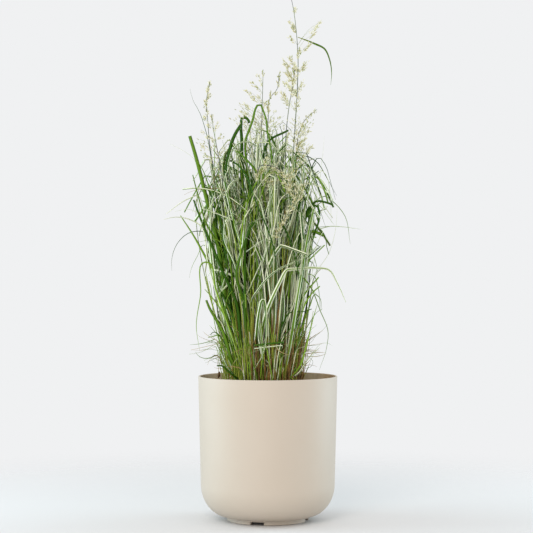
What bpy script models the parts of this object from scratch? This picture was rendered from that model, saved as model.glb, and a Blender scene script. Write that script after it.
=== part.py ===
# Potted feather reed grass: a variegated clump in a round planter on a foot ring.
# Metres, +Z up. The origin is on the ground under the middle of the pot, and -Y is its front.

import math
import random

import bmesh
import bpy
from mathutils import Matrix, Vector
from mathutils.bvhtree import BVHTree

GAP = 0.0004

# Pot
POT_HEIGHT = 0.310
RIM_RADIUS = 0.150
SHOULDER_RADIUS = 0.1445
SHOULDER_HEIGHT = 0.078
WALL = 0.0050
FLOOR = 0.0060
RIM_ROUND = 0.0012
FOOT_RADIUS = 0.088
FOOT_INNER_RADIUS = 0.076
FOOT_HEIGHT = 0.0090
DRAIN_RADIUS = 0.0090
NOTCH_WIDTH = 0.030
NOTCH_HEIGHT = 0.0065
NOTCH_TURN = math.radians(-15)
CORNER_STEPS = 5
POT_SIDES = 40

# Soil and crown
SOIL_HEIGHT = 0.265
SOIL_EDGE_DROP = 0.004
CROWN_X = -0.010
CROWN_RADIUS = 0.079
CROWN_TOP_RADIUS = 0.075
CROWN_HEIGHT = 0.292
CROWN_RIDGES = 20
RIDGE_DEPTH = 0.0040

# Plant
REACH = 0.216
BLADE_HALF_DEPTH = 0.0007
SHOOT_COUNT = 24
SHOOT_RING = 0.064
SHOOT_LEAN = math.radians(10.5)
SHOOT_SEED = 7
CULM_HALF = 0.0020
CLEAR_STEP = math.radians(4)

# Long leaves: points in millimetres from the crown to the tip, the widest half-width
# in millimetres, and how far the blade's width is turned from the X axis in degrees.
LONG_LEAVES = [
    {"points": [(-72, -28, 293), (-80, -40, 380), (-90, -50, 475), (-108, -52, 600),
                (-129, -52, 685), (-157, -50, 794), (-166, -50, 824)], "half": 4.6, "turn": 5},
    {"points": [(-53, -53, 293), (-58, -68, 400), (-67, -75, 471), (-94, -76, 532),
                (-121, -76, 596), (-143, -75, 649), (-157, -75, 687)], "half": 3.6, "turn": 20},
    {"points": [(-77, -8, 293), (-82, -20, 380), (-90, -28, 440), (-112, -30, 525),
                (-136, -30, 571), (-159, -30, 612), (-187, -30, 655)], "half": 3.4, "turn": 25},
    {"points": [(-75, 15, 293), (-92, 6, 400), (-124, 0, 560), (-140, 0, 676),
                (-148, -6, 699), (-172, -30, 690), (-215, -80, 657)], "half": 2.2, "turn": 70},
    {"points": [(-64, -41, 293), (-84, -54, 400), (-128, -66, 560), (-142, -78, 632),
                (-165, -95, 645), (-190, -125, 649), (-217, -165, 643)], "half": 2.0, "turn": 60},
    {"points": [(-67, 35, 293), (-86, 38, 400), (-118, 34, 560), (-140, 31, 622),
                (-172, 30, 619), (-195, 30, 599), (-209, 30, 563), (-209, 30, 536)],
     "half": 1.6, "turn": 60},
    {"points": [(-43, -60, 293), (-76, -80, 400), (-110, -88, 500), (-126, -92, 556),
                (-133, -96, 556), (-141, -100, 486), (-150, -100, 419), (-143, -100, 369)],
     "half": 2.2, "turn": 50},
    {"points": [(-57, 49, 293), (-80, 32, 420), (-105, 20, 640), (-120, 20, 764),
                (-137, 20, 849), (-149, 20, 883), (-162, 20, 906), (-169, 20, 931)],
     "half": 1.5, "turn": 45},
    {"points": [(5, -66, 293), (-2, -88, 400), (1, -100, 455), (18, -100, 487),
                (37, -100, 531), (60, -101, 543), (103, -101, 543), (128, -100, 539),
                (146, -100, 511), (164, -100, 471)], "half": 2.6, "turn": 55},
    {"points": [(53, 23, 293), (66, 45, 400), (88, 70, 560), (106, 80, 624),
                (133, 92, 634), (160, 125, 635), (217, 190, 630)], "half": 1.6, "turn": 70},
    {"points": [(46, 38, 293), (62, 58, 420), (86, 86, 600), (110, 98, 694),
                (122, 100, 702), (150, 100, 685), (170, 100, 660), (183, 100, 596)],
     "half": 1.8, "turn": 60},
    {"points": [(57, 7, 293), (66, 30, 480), (76, 52, 700), (86, 59, 788),
                (107, 60, 776), (128, 60, 743), (151, 60, 701)], "half": 2.4, "turn": 50},
    {"points": [(44, -42, 293), (56, -60, 400), (66, -75, 490), (75, -80, 522),
                (87, -80, 507), (111, -80, 451), (127, -80, 408), (124, -80, 375),
                (109, -80, 328)], "half": 2.0, "turn": 50},
    {"points": [(31, -54, 293), (50, -86, 400), (61, -110, 475), (75, -112, 562),
                (89, -112, 638), (96, -112, 667)], "half": 3.2, "turn": 10},
    {"points": [(-29, -65, 293), (-45, -80, 400), (-48, -105, 520), (-40, -120, 618),
                (-29, -132, 638), (-12, -160, 617), (0, -190, 594), (6, -210, 562),
                (8, -217, 537)], "half": 3.0, "turn": 15},
    {"points": [(-10, 68, 293), (-2, 85, 400), (8, 120, 540), (14, 150, 622),
                (20, 185, 634), (22, 217, 590)], "half": 3.0, "turn": 15},
    {"points": [(19, -61, 293), (12, -90, 400), (10, -110, 500), (15, -118, 565),
                (27, -120, 588), (50, -121, 582), (80, -121, 571)], "half": 3.0, "turn": 40},
    {"points": [(-12, -69, 293), (-30, -62, 420), (-47, -46, 700), (-43, -42, 838),
                (-28, -41, 886), (-14, -41, 891), (-4, -40, 853), (11, -39, 779)],
     "half": 2.6, "turn": 35},
    {"points": [(-34, 63, 293), (-44, 40, 500), (-55, 14, 740), (-58, 8, 846),
                (-46, 6, 861), (-38, 4, 842)], "half": 3.6, "turn": 20},
]

# Flowering stems: points in millimetres from the crown to the tip, and the share of the
# stem at which its panicle starts.
FLOWER_STEMS = [
    {"points": [(34, 6, 293), (40, 16, 520), (54, 24, 765), (58, 28, 828), (65, 30, 950),
                (66, 30, 990), (63, 30, 1047), (56, 30, 1105), (46, 30, 1153)],
     "panicle": 0.74, "spread": 0.030, "leaf": [(76, 30, 1041), (101, 30, 1031),
                                               (126, 30, 1018), (139, 30, 976),
                                               (134, 30, 941)]},
    {"points": [(20, -18, 293), (28, -20, 520), (37, -20, 769), (40, -20, 841),
                (46, -20, 892), (56, -20, 951), (56, -20, 979), (46, -20, 998)],
     "panicle": 0.86, "spread": 0.030, "leaf": None},
    {"points": [(-6, 22, 293), (-4, 36, 520), (-2, 44, 800), (1, 50, 869), (7, 50, 918),
                (18, 50, 930), (25, 50, 966)], "panicle": 0.88, "spread": 0.020, "leaf": None},
    {"points": [(-16, -8, 293), (-20, -10, 520), (-18, -6, 785), (-15, -4, 813),
                (-13, -2, 862), (-10, 0, 972)], "panicle": 0.84, "spread": 0.034, "leaf": None},
    {"points": [(-50, 20, 293), (-80, 44, 520), (-118, 40, 760), (-125, 36, 800),
                (-132, 34, 877), (-134, 32, 900), (-126, 30, 948)],
     "panicle": 0.86, "spread": 0.014, "leaf": None},
    {"points": [(-48, -16, 293), (-66, -44, 520), (-99, -60, 744), (-108, -60, 798),
                (-116, -60, 841), (-119, -60, 871)], "panicle": 0.76, "spread": 0.034,
     "leaf": None},
    {"points": [(36, 22, 293), (50, 2, 520), (62, -24, 780), (67, -28, 832),
                (80, -30, 860), (106, -30, 883)], "panicle": 0.80, "spread": 0.022,
     "leaf": None},
    {"points": [(4, -36, 293), (-12, -70, 480), (-20, -84, 700), (-14, -94, 758),
                (16, -104, 752), (48, -114, 724), (64, -118, 700), (55, -120, 676),
                (38, -122, 652), (20, -124, 612)], "panicle": 0.66, "spread": 0.018,
     "leaf": None},
]


def new_object(name, mesh, material):
    """Put a mesh in the scene as one named piece with its own material."""
    thing = bpy.data.objects.new(name, mesh)
    thing.data.materials.append(material)
    PIECES.objects.link(thing)
    return thing


def finish(name, color, roughness):
    """A plain Principled material."""
    material = bpy.data.materials.new(name)
    material.use_nodes = True
    shader = material.node_tree.nodes["Principled BSDF"]
    shader.inputs["Base Color"].default_value = (*color, 1.0)
    shader.inputs["Roughness"].default_value = roughness
    shader.inputs["Metallic"].default_value = 0.0
    return material


def turned(name, profile, closed, material):
    """A profile of (radius, height) points turned round the Z axis."""
    edges = [(i, i + 1) for i in range(len(profile) - 1)]
    if closed:
        edges.append((len(profile) - 1, 0))
    mesh = bpy.data.meshes.new(name)
    mesh.from_pydata([(r, 0.0, z) for r, z in profile], edges, [])
    thing = new_object(name, mesh, material)
    screw = thing.modifiers.new("Turn", "SCREW")
    screw.axis = "Z"
    screw.steps = POT_SIDES
    screw.render_steps = POT_SIDES
    screw.use_merge_vertices = True
    screw.merge_threshold = 0.00005
    screw.use_smooth_shade = True
    return thing


def wall_radius(height):
    """Outer radius of the drafted wall at a height above its shoulder."""
    share = (height - SHOULDER_HEIGHT) / (POT_HEIGHT - SHOULDER_HEIGHT)
    return SHOULDER_RADIUS + (RIM_RADIUS - SHOULDER_RADIUS) * share


def corner(edge_radius, shoulder_radius, low, high, inset):
    """The rounded lower edge as a quarter ellipse, from the shoulder to the floor."""
    points = []
    for step in range(CORNER_STEPS + 1):
        angle = math.pi / 2 * step / CORNER_STEPS
        radius = edge_radius + (shoulder_radius - edge_radius) * math.cos(angle)
        height = high - (high - low) * math.sin(angle)
        points.append((radius - inset, height))
    return points


def inner_corner(clearance):
    """The inside of the rounded lower edge, held off by a clearance."""
    return corner(FOOT_RADIUS, SHOULDER_RADIUS - WALL, FOOT_HEIGHT + FLOOR + clearance,
                  SHOULDER_HEIGHT, clearance)


def make_pot():
    """The planter: a drafted wall, a rounded edge, a notched foot ring and a drain hole."""
    rim_inner = RIM_RADIUS - WALL
    profile = [
        (rim_inner + RIM_ROUND, POT_HEIGHT),
        (RIM_RADIUS - RIM_ROUND, POT_HEIGHT),
        (RIM_RADIUS, POT_HEIGHT - RIM_ROUND),
    ]
    profile += corner(FOOT_RADIUS, SHOULDER_RADIUS, FOOT_HEIGHT, SHOULDER_HEIGHT, 0.0)
    profile += [
        (FOOT_RADIUS, 0.0),
        (FOOT_INNER_RADIUS, 0.0),
        (FOOT_INNER_RADIUS, FOOT_HEIGHT),
        (DRAIN_RADIUS, FOOT_HEIGHT),
        (DRAIN_RADIUS, FOOT_HEIGHT + FLOOR),
    ]
    profile += reversed(inner_corner(0.0))
    profile.append((rim_inner, POT_HEIGHT - RIM_ROUND))
    pot = turned("pot", profile, True, finish("pot plastic", (0.62, 0.55, 0.46), 0.6))
    for index in range(2):
        cutter = foot_cutter(NOTCH_TURN + index * math.pi / 2)
        cut = pot.modifiers.new("Notch", "BOOLEAN")
        cut.operation = "DIFFERENCE"
        cut.solver = "EXACT"
        cut.object = cutter


def foot_cutter(turn):
    """A bar through both sides of the foot ring, for two notches."""
    mesh = bpy.data.meshes.new("foot bar")
    bm = bmesh.new()
    bmesh.ops.create_cube(bm, size=1.0)
    bm.to_mesh(mesh)
    bm.free()
    cutter = bpy.data.objects.new("foot bar", mesh)
    cutter.scale = (NOTCH_WIDTH, 3 * FOOT_RADIUS, 2 * NOTCH_HEIGHT)
    cutter.rotation_euler = (0.0, 0.0, turn)
    cutter.hide_render = True
    cutter.display_type = "WIRE"
    CUTTERS.objects.link(cutter)
    return cutter


def make_soil():
    """The potting mix, which fills the pot and falls a little towards the wall."""
    edge = SOIL_HEIGHT - SOIL_EDGE_DROP
    profile = [
        (0.0, SOIL_HEIGHT),
        (CROWN_RADIUS * 1.3, SOIL_HEIGHT),
        (wall_radius(edge) - WALL - GAP, edge),
    ]
    profile += inner_corner(GAP)
    profile.append((0.0, FOOT_HEIGHT + FLOOR + GAP))
    turned("potting_soil", profile, False, finish("potting mix", (0.06, 0.035, 0.02), 0.95))


def make_crown():
    """The tight base of the clump: ridges of old sheaths round a level top."""
    bm = bmesh.new()
    low = SOIL_HEIGHT + GAP
    bmesh.ops.create_cone(bm, cap_ends=True, segments=2 * CROWN_RIDGES, radius1=1.0,
                          radius2=1.0, depth=CROWN_HEIGHT - low)
    bmesh.ops.translate(bm, verts=bm.verts, vec=(CROWN_X, 0.0, (CROWN_HEIGHT + low) / 2))
    for vert in bm.verts:
        across = Vector((vert.co.x - CROWN_X, vert.co.y))
        count = round(math.atan2(across.y, across.x) / math.pi * CROWN_RIDGES)
        at_top = vert.co.z > (CROWN_HEIGHT + low) / 2
        radius = CROWN_TOP_RADIUS if at_top else CROWN_RADIUS
        radius -= RIDGE_DEPTH * (count % 2)
        vert.co.x = CROWN_X + across.x * radius
        vert.co.y = across.y * radius
    mesh = bpy.data.meshes.new("crown")
    bm.to_mesh(mesh)
    bm.free()
    new_object("crown", mesh, finish("old sheaths", (0.20, 0.12, 0.05), 0.8))


def section_corners(face, across, depth):
    """Each corner of a face as shares of its half-sizes along two directions."""
    centre = face.calc_center_median()
    offsets = [vert.co - centre for vert in face.verts]
    wide = max(abs(offset.dot(across)) for offset in offsets)
    deep = max(abs(offset.dot(depth)) for offset in offsets)
    return [(offset.dot(across) / wide, offset.dot(depth) / deep) for offset in offsets]


def extrude_to(bm, face, centre, across, depth, corners):
    """Extrude a face and set its corners round a new centre."""
    new = bmesh.ops.extrude_discrete_faces(bm, faces=[face])["faces"][0]
    for vert, (wide, deep) in zip(new.verts, corners):
        vert.co = centre + across * wide + depth * deep
    return new


def directions(points, index):
    """The way that a path runs at one of its points."""
    before = points[max(index - 1, 0)]
    after = points[min(index + 1, len(points) - 1)]
    return (after - before).normalized()


def grow(bm, face, points, half_widths, half_depths, width_way, depth_way):
    """Grow a blade or stem out of a face, along points that start at the face."""
    corners = section_corners(face, *face_frame(face, width_way, depth_way))
    for index in range(1, len(points)):
        along = directions(points, index)
        across = (width_way - along * width_way.dot(along)).normalized()
        depth = along.cross(across)
        if depth.dot(depth_way) < 0 and index == 1:
            corners = [(wide, -deep) for wide, deep in corners]
        face = extrude_to(bm, face, points[index], across * half_widths[index],
                          depth * half_depths[index], corners)
    return face


def face_frame(face, width_way, depth_way):
    """Two directions in a face's plane, the first as near as it can be to the width."""
    normal = face.normal.copy()
    across = (width_way - normal * width_way.dot(normal)).normalized()
    depth = normal.cross(across)
    if depth.dot(depth_way) < 0:
        depth.negate()
    return across, depth


def base_block(bm, foot, half, turn):
    """A short four-sided foot that stands level on the crown, and its top face."""
    height = 0.006
    bmesh.ops.create_cone(bm, cap_ends=True, segments=4, radius1=half, radius2=half,
                          depth=height)
    bm.faces.ensure_lookup_table()
    block = bm.verts[:]
    bmesh.ops.rotate(bm, verts=block, cent=(0, 0, 0), matrix=Matrix.Rotation(turn, 3, "Z"))
    bmesh.ops.translate(bm, verts=block, vec=foot + Vector((0, 0, height / 2)))
    bm.normal_update()
    return max(bm.faces, key=lambda face: face.normal.z)


def side_faces(face):
    """The faces that join a stem's end face to the ring before it."""
    return [other for edge in face.edges for other in edge.link_faces if other != face]


def stem_rings(bm, face, points, halves):
    """Extrude a stem through points, and give the side faces of every stretch."""
    stretches = []
    width_way = Vector((1, 0, 0))
    depth_way = Vector((0, 1, 0))
    corners = section_corners(face, width_way, depth_way)
    for index in range(1, len(points)):
        along = directions(points, index)
        across = (width_way - along * along.x).normalized()
        depth = along.cross(across)
        face = extrude_to(bm, face, points[index], across * halves[index],
                          depth * halves[index], corners)
        stretches.append(side_faces(face))
    bm.normal_update()
    return face, stretches


def blade_widths(count, half, blunt):
    """Half-widths along a blade: full from near its foot, then narrowing to its tip."""
    widths = []
    for index in range(count):
        share = index / (count - 1)
        widths.append(half * (1 - (1 - blunt) * share ** 2.5))
    return widths


def millimetres(points):
    """Points written in millimetres, as vectors in metres."""
    return [Vector(point) / 1000 for point in points]


def from_crown(points):
    """The points of a leaf or stem, the first of them set on the crown's level top."""
    route = millimetres(points)
    route[0].z = CROWN_HEIGHT + GAP
    return route


def within_reach(bm):
    """Hold the outermost tips to the plant's reach each way."""
    for vert in bm.verts:
        vert.co.x = max(-REACH, min(REACH, vert.co.x))
        vert.co.y = max(-REACH, min(REACH, vert.co.y))


def close_piece(bm, name, material):
    """Turn a finished bmesh into a named piece and keep its surface for clearance."""
    within_reach(bm)
    TAKEN.append(BVHTree.FromBMesh(bm))
    mesh = bpy.data.meshes.new(name)
    bm.to_mesh(mesh)
    bm.free()
    new_object(name, mesh, material)


def make_long_leaf(index, plan):
    """One of the leaves that reach out of the clump."""
    bm = bmesh.new()
    points = from_crown(plan["points"])
    turn = math.radians(plan["turn"])
    top = base_block(bm, points[0], plan["half"] / 1000, turn + math.pi / 4)
    points[0] = top.calc_center_median()
    width_way = Vector((math.cos(turn), math.sin(turn), 0))
    depth_way = Vector((-math.sin(turn), math.cos(turn), 0))
    widths = blade_widths(len(points), plan["half"] / 1000, 0.25)
    depths = blade_widths(len(points), BLADE_HALF_DEPTH, 0.5)
    grow(bm, top, points, widths, depths, width_way, depth_way)
    close_piece(bm, f"leaf_{index + 1:02d}", finish("leaf", (0.20, 0.35, 0.08), 0.5))


def path_point(points, share):
    """A point at a share of the length of a path."""
    lengths = [(b - a).length for a, b in zip(points, points[1:])]
    left = share * sum(lengths)
    for start, end, length in zip(points, points[1:], lengths):
        if left <= length:
            return start.lerp(end, left / length)
        left -= length
    return points[-1]


def panicle_points(points, start, whorls):
    """The stem's points with short rings added where the panicle's branches start."""
    lengths = [0.0]
    for a, b in zip(points, points[1:]):
        lengths.append(lengths[-1] + (b - a).length)
    shares = [(length / lengths[-1], False) for length in lengths if length < lengths[-1]]
    for whorl in range(whorls):
        middle = start + (0.985 - start) * whorl / (whorls - 0.5)
        shares = [item for item in shares if abs(item[0] - middle) > 0.012]
        shares += [(middle - 0.004, False), (middle + 0.004, True)]
    shares.append((1.0, False))
    shares.sort()
    return [path_point(points, share) for share, _ in shares], [mark for _, mark in shares]


def make_flower_stem(index, plan):
    """A thin culm with a panicle of spikelet branches grown from it."""
    rng = random.Random(SHOOT_SEED * 100 + index)
    bm = bmesh.new()
    route = from_crown(plan["points"])
    points, marks = panicle_points(route, plan["panicle"], 5)
    top = base_block(bm, points[0], 0.0021, math.pi / 4)
    points[0] = top.calc_center_median()
    halves = [0.0015 - 0.0008 * step / (len(points) - 1) for step in range(len(points))]
    stretches = stem_rings(bm, top, points, halves)[1]
    if plan["leaf"]:
        grow_flag_leaf(bm, stretches, millimetres(plan["leaf"]))
    first = marks.index(True)
    for step in range(first, len(points)):
        if not marks[step]:
            continue
        share = 1 - 0.6 * (step - first) / (len(points) - first)
        sides = [face for face in stretches[step - 1] if face.is_valid]
        rng.shuffle(sides)
        for face in sides[:2]:
            grow_branch(bm, face, plan["spread"] * share, directions(points, step))
    close_piece(bm, f"flower_stem_{index + 1}", finish("flower head", (0.55, 0.48, 0.30), 0.7))


def grow_branch(bm, face, length, along):
    """A spikelet branch: it leaves a side face, swells and ends in a tip."""
    out = face.normal.copy()
    way = (out + along * 0.9).normalized()
    start = face.calc_center_median()
    points = [start, start + way * length * 0.6, start + way * length]
    width_way = along.cross(out).normalized()
    grow(bm, face, points, [0, 0.0030, 0.0008], [0, 0.0024, 0.0006], width_way, along)


def grow_flag_leaf(bm, stretches, points):
    """The leaf of a flowering stem, from the side of the stem nearest to it."""
    faces = [face for sides in stretches for face in sides]
    face = min(faces, key=lambda side: (side.calc_center_median() - points[0]).length
               - 0.02 * side.normal.x)
    points = [face.calc_center_median()] + points
    widths = [0, 0.0012, 0.0022, 0.0022, 0.0016, 0.0006]
    depths = [BLADE_HALF_DEPTH] * len(widths)
    grow(bm, face, points, widths, depths, Vector((0.3, 1, 0)).normalized(), Vector((0, 0, 1)))


def tilted_path(start, azimuth, tilts, length):
    """Points from a start, each stretch at its own tilt and shorter than the one before."""
    points = [start]
    shares = [1.0 - 0.13 * step for step in range(len(tilts))]
    for tilt, share in zip(tilts, shares):
        out = math.sin(tilt)
        way = Vector((out * math.cos(azimuth), out * math.sin(azimuth), math.cos(tilt)))
        points.append(points[-1] + way * (length * share / sum(shares)))
    return points


def shoot_plan(index):
    """Where a shoot stands on the crown, which way it leans and how tall it is."""
    rng = random.Random(SHOOT_SEED + index)
    share = math.sqrt((index + 0.5) / SHOOT_COUNT)
    return {
        "rng": rng,
        "azimuth": index * math.radians(137.5),
        "radius": SHOOT_RING * share,
        "lean": SHOOT_LEAN * share,
        "culm": rng.uniform(0.16, 0.24),
        "tall": rng.uniform(0.53, 0.60) - 0.10 * share ** 2,
    }


def build_shoot(index, extra_turn):
    """One shoot: a sheathed culm, its leading blade and two blades from its sides."""
    plan = shoot_plan(index)
    rng = plan["rng"]
    azimuth = plan["azimuth"] + extra_turn
    lean = plan["lean"]
    foot = Vector((CROWN_X + plan["radius"] * math.cos(azimuth),
                   plan["radius"] * math.sin(azimuth), CROWN_HEIGHT + GAP))
    bm = bmesh.new()
    top = base_block(bm, foot, CULM_HALF * 1.4, azimuth)
    start = top.calc_center_median()
    culm = tilted_path(start, azimuth, [lean * 0.7, lean], plan["culm"])
    nodes = [0.0, 0.55, 0.60, 0.94, 1.0]
    points = [path_point(culm, share) for share in nodes]
    halves = [CULM_HALF] * len(points)
    end, stretches = stem_rings(bm, top, points, halves)
    for level in (1, 3):
        side = azimuth + rng.choice((-1, 1)) * rng.uniform(0.5, 1.6)
        way = Vector((math.cos(side), math.sin(side), 0))
        face = max(stretches[level], key=lambda item: item.normal.dot(way))
        length = plan["tall"] - plan["culm"] * nodes[level]
        tilts = [lean + 0.04, lean * 0.6 + 0.04, lean * 0.3 + 0.03,
                 rng.uniform(0.0, 0.4), rng.uniform(0.5, 2.0)]
        grow_blade(bm, face, side, tilts, length * rng.uniform(0.80, 1.0), rng)
    tilts = [lean * 0.7, lean * 0.4, lean * 0.2, rng.uniform(-0.1, 0.2), rng.uniform(0.0, 0.9)]
    grow_blade(bm, end, azimuth, tilts, plan["tall"] - plan["culm"], rng)
    return bm


def grow_blade(bm, face, azimuth, tilts, length, rng):
    """A blade of a shoot, from a face of its culm."""
    points = tilted_path(face.calc_center_median(), azimuth, tilts, length)
    turn = azimuth + math.pi / 2 + rng.uniform(-0.5, 0.5)
    width_way = Vector((math.cos(turn), math.sin(turn), 0))
    half = rng.uniform(0.0026, 0.0038)
    widths = blade_widths(len(points), half, 0.3)
    depths = blade_widths(len(points), BLADE_HALF_DEPTH, 0.6)
    grow(bm, face, points, widths, depths, width_way, Vector((0, 0, 1)))


def make_shoot(index):
    """Place a shoot, turned about the crown until it is clear of what stands already."""
    for step in range(90):
        bm = build_shoot(index, step * CLEAR_STEP)
        surface = BVHTree.FromBMesh(bm)
        if not any(surface.overlap(other) for other in TAKEN):
            break
        bm.free()
    close_piece(bm, f"shoot_{index + 1:02d}", finish("shoot", (0.24, 0.36, 0.12), 0.55))


def clear_scene():
    """Start from an empty scene."""
    for thing in list(bpy.data.objects):
        bpy.data.objects.remove(thing)


def new_collection(name):
    """A collection of the scene."""
    group = bpy.data.collections.new(name)
    bpy.context.scene.collection.children.link(group)
    return group


clear_scene()
PIECES = new_collection("potted feather reed grass")
CUTTERS = new_collection("cutters")
TAKEN = []
make_pot()
make_soil()
make_crown()
for number, leaf in enumerate(LONG_LEAVES):
    make_long_leaf(number, leaf)
for number, stem in enumerate(FLOWER_STEMS):
    make_flower_stem(number, stem)
for number in range(SHOOT_COUNT):
    make_shoot(number)
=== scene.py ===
import math
import random

import bmesh
import bpy
import numpy as np
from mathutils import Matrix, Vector


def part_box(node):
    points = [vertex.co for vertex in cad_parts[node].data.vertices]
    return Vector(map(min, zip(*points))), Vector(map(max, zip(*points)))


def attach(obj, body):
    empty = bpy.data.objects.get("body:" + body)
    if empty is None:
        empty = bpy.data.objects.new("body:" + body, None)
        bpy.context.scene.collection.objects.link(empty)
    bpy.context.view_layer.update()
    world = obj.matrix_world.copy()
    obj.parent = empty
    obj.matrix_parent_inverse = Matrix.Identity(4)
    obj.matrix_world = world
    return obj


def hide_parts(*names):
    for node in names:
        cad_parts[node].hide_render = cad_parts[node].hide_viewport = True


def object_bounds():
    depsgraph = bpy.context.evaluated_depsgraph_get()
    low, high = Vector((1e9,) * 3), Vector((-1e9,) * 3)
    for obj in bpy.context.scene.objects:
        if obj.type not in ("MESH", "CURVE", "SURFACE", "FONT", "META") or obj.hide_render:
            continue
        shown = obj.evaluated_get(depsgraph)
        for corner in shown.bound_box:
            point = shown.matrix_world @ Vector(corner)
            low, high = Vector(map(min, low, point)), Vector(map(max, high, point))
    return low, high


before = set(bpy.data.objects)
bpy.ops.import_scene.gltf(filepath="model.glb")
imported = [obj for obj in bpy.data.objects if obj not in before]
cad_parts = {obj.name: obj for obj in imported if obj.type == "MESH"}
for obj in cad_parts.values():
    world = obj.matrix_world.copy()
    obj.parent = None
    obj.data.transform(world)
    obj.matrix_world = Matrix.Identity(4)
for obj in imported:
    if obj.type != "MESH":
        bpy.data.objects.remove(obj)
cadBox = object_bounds()
print("frame loaded")

mm = 0.001


# colour and node helpers

def linear(hexColour):
    # sRGB hex to the linear colour that the shaders use
    parts = [int(hexColour[i:i + 2], 16) / 255 for i in (1, 3, 5)]
    parts = [p / 12.92 if p <= 0.04045 else ((p + 0.055) / 1.055) ** 2.4 for p in parts]
    return (*parts, 1.0)


def addNode(tree, kind, settings=None, links=None):
    # settings go to a socket by name or number, or else to the node itself
    node = tree.nodes.new(kind)
    for key, value in (settings or {}).items():
        if key == "stops":
            ramp = node.color_ramp
            while len(ramp.elements) < len(value):
                ramp.elements.new(1.0)
            for element, (place, colour) in zip(ramp.elements, value):
                element.position = place
                element.color = linear(colour)
        elif isinstance(key, int) or key in node.inputs:
            node.inputs[key].default_value = value
        else:
            setattr(node, key, value)
    for key, source in (links or {}).items():
        tree.links.new(source, node.inputs[key])
    return node


def newMaterial(name):
    material = bpy.data.materials.new(name)
    material.use_nodes = True
    tree = material.node_tree
    return material, tree, tree.nodes["Principled BSDF"]


# grass blades: living leaf, grown; smooth parallel veins give a low satin sheen along them

bladeLook = {
    "deepGreen": "#2E5408",
    "brightGreen": "#95BA3A",
    "footGreen": "#979A40",
    "cream": "#FFFFEC",
    "paleGreen": "#DDE4B2",
    "straw": "#CBB67E",
    "brown": "#82622F",
    "stripesAcross": 3.2,
    "veinsAcross": 11,
    "roughness": 0.52,
}


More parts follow.
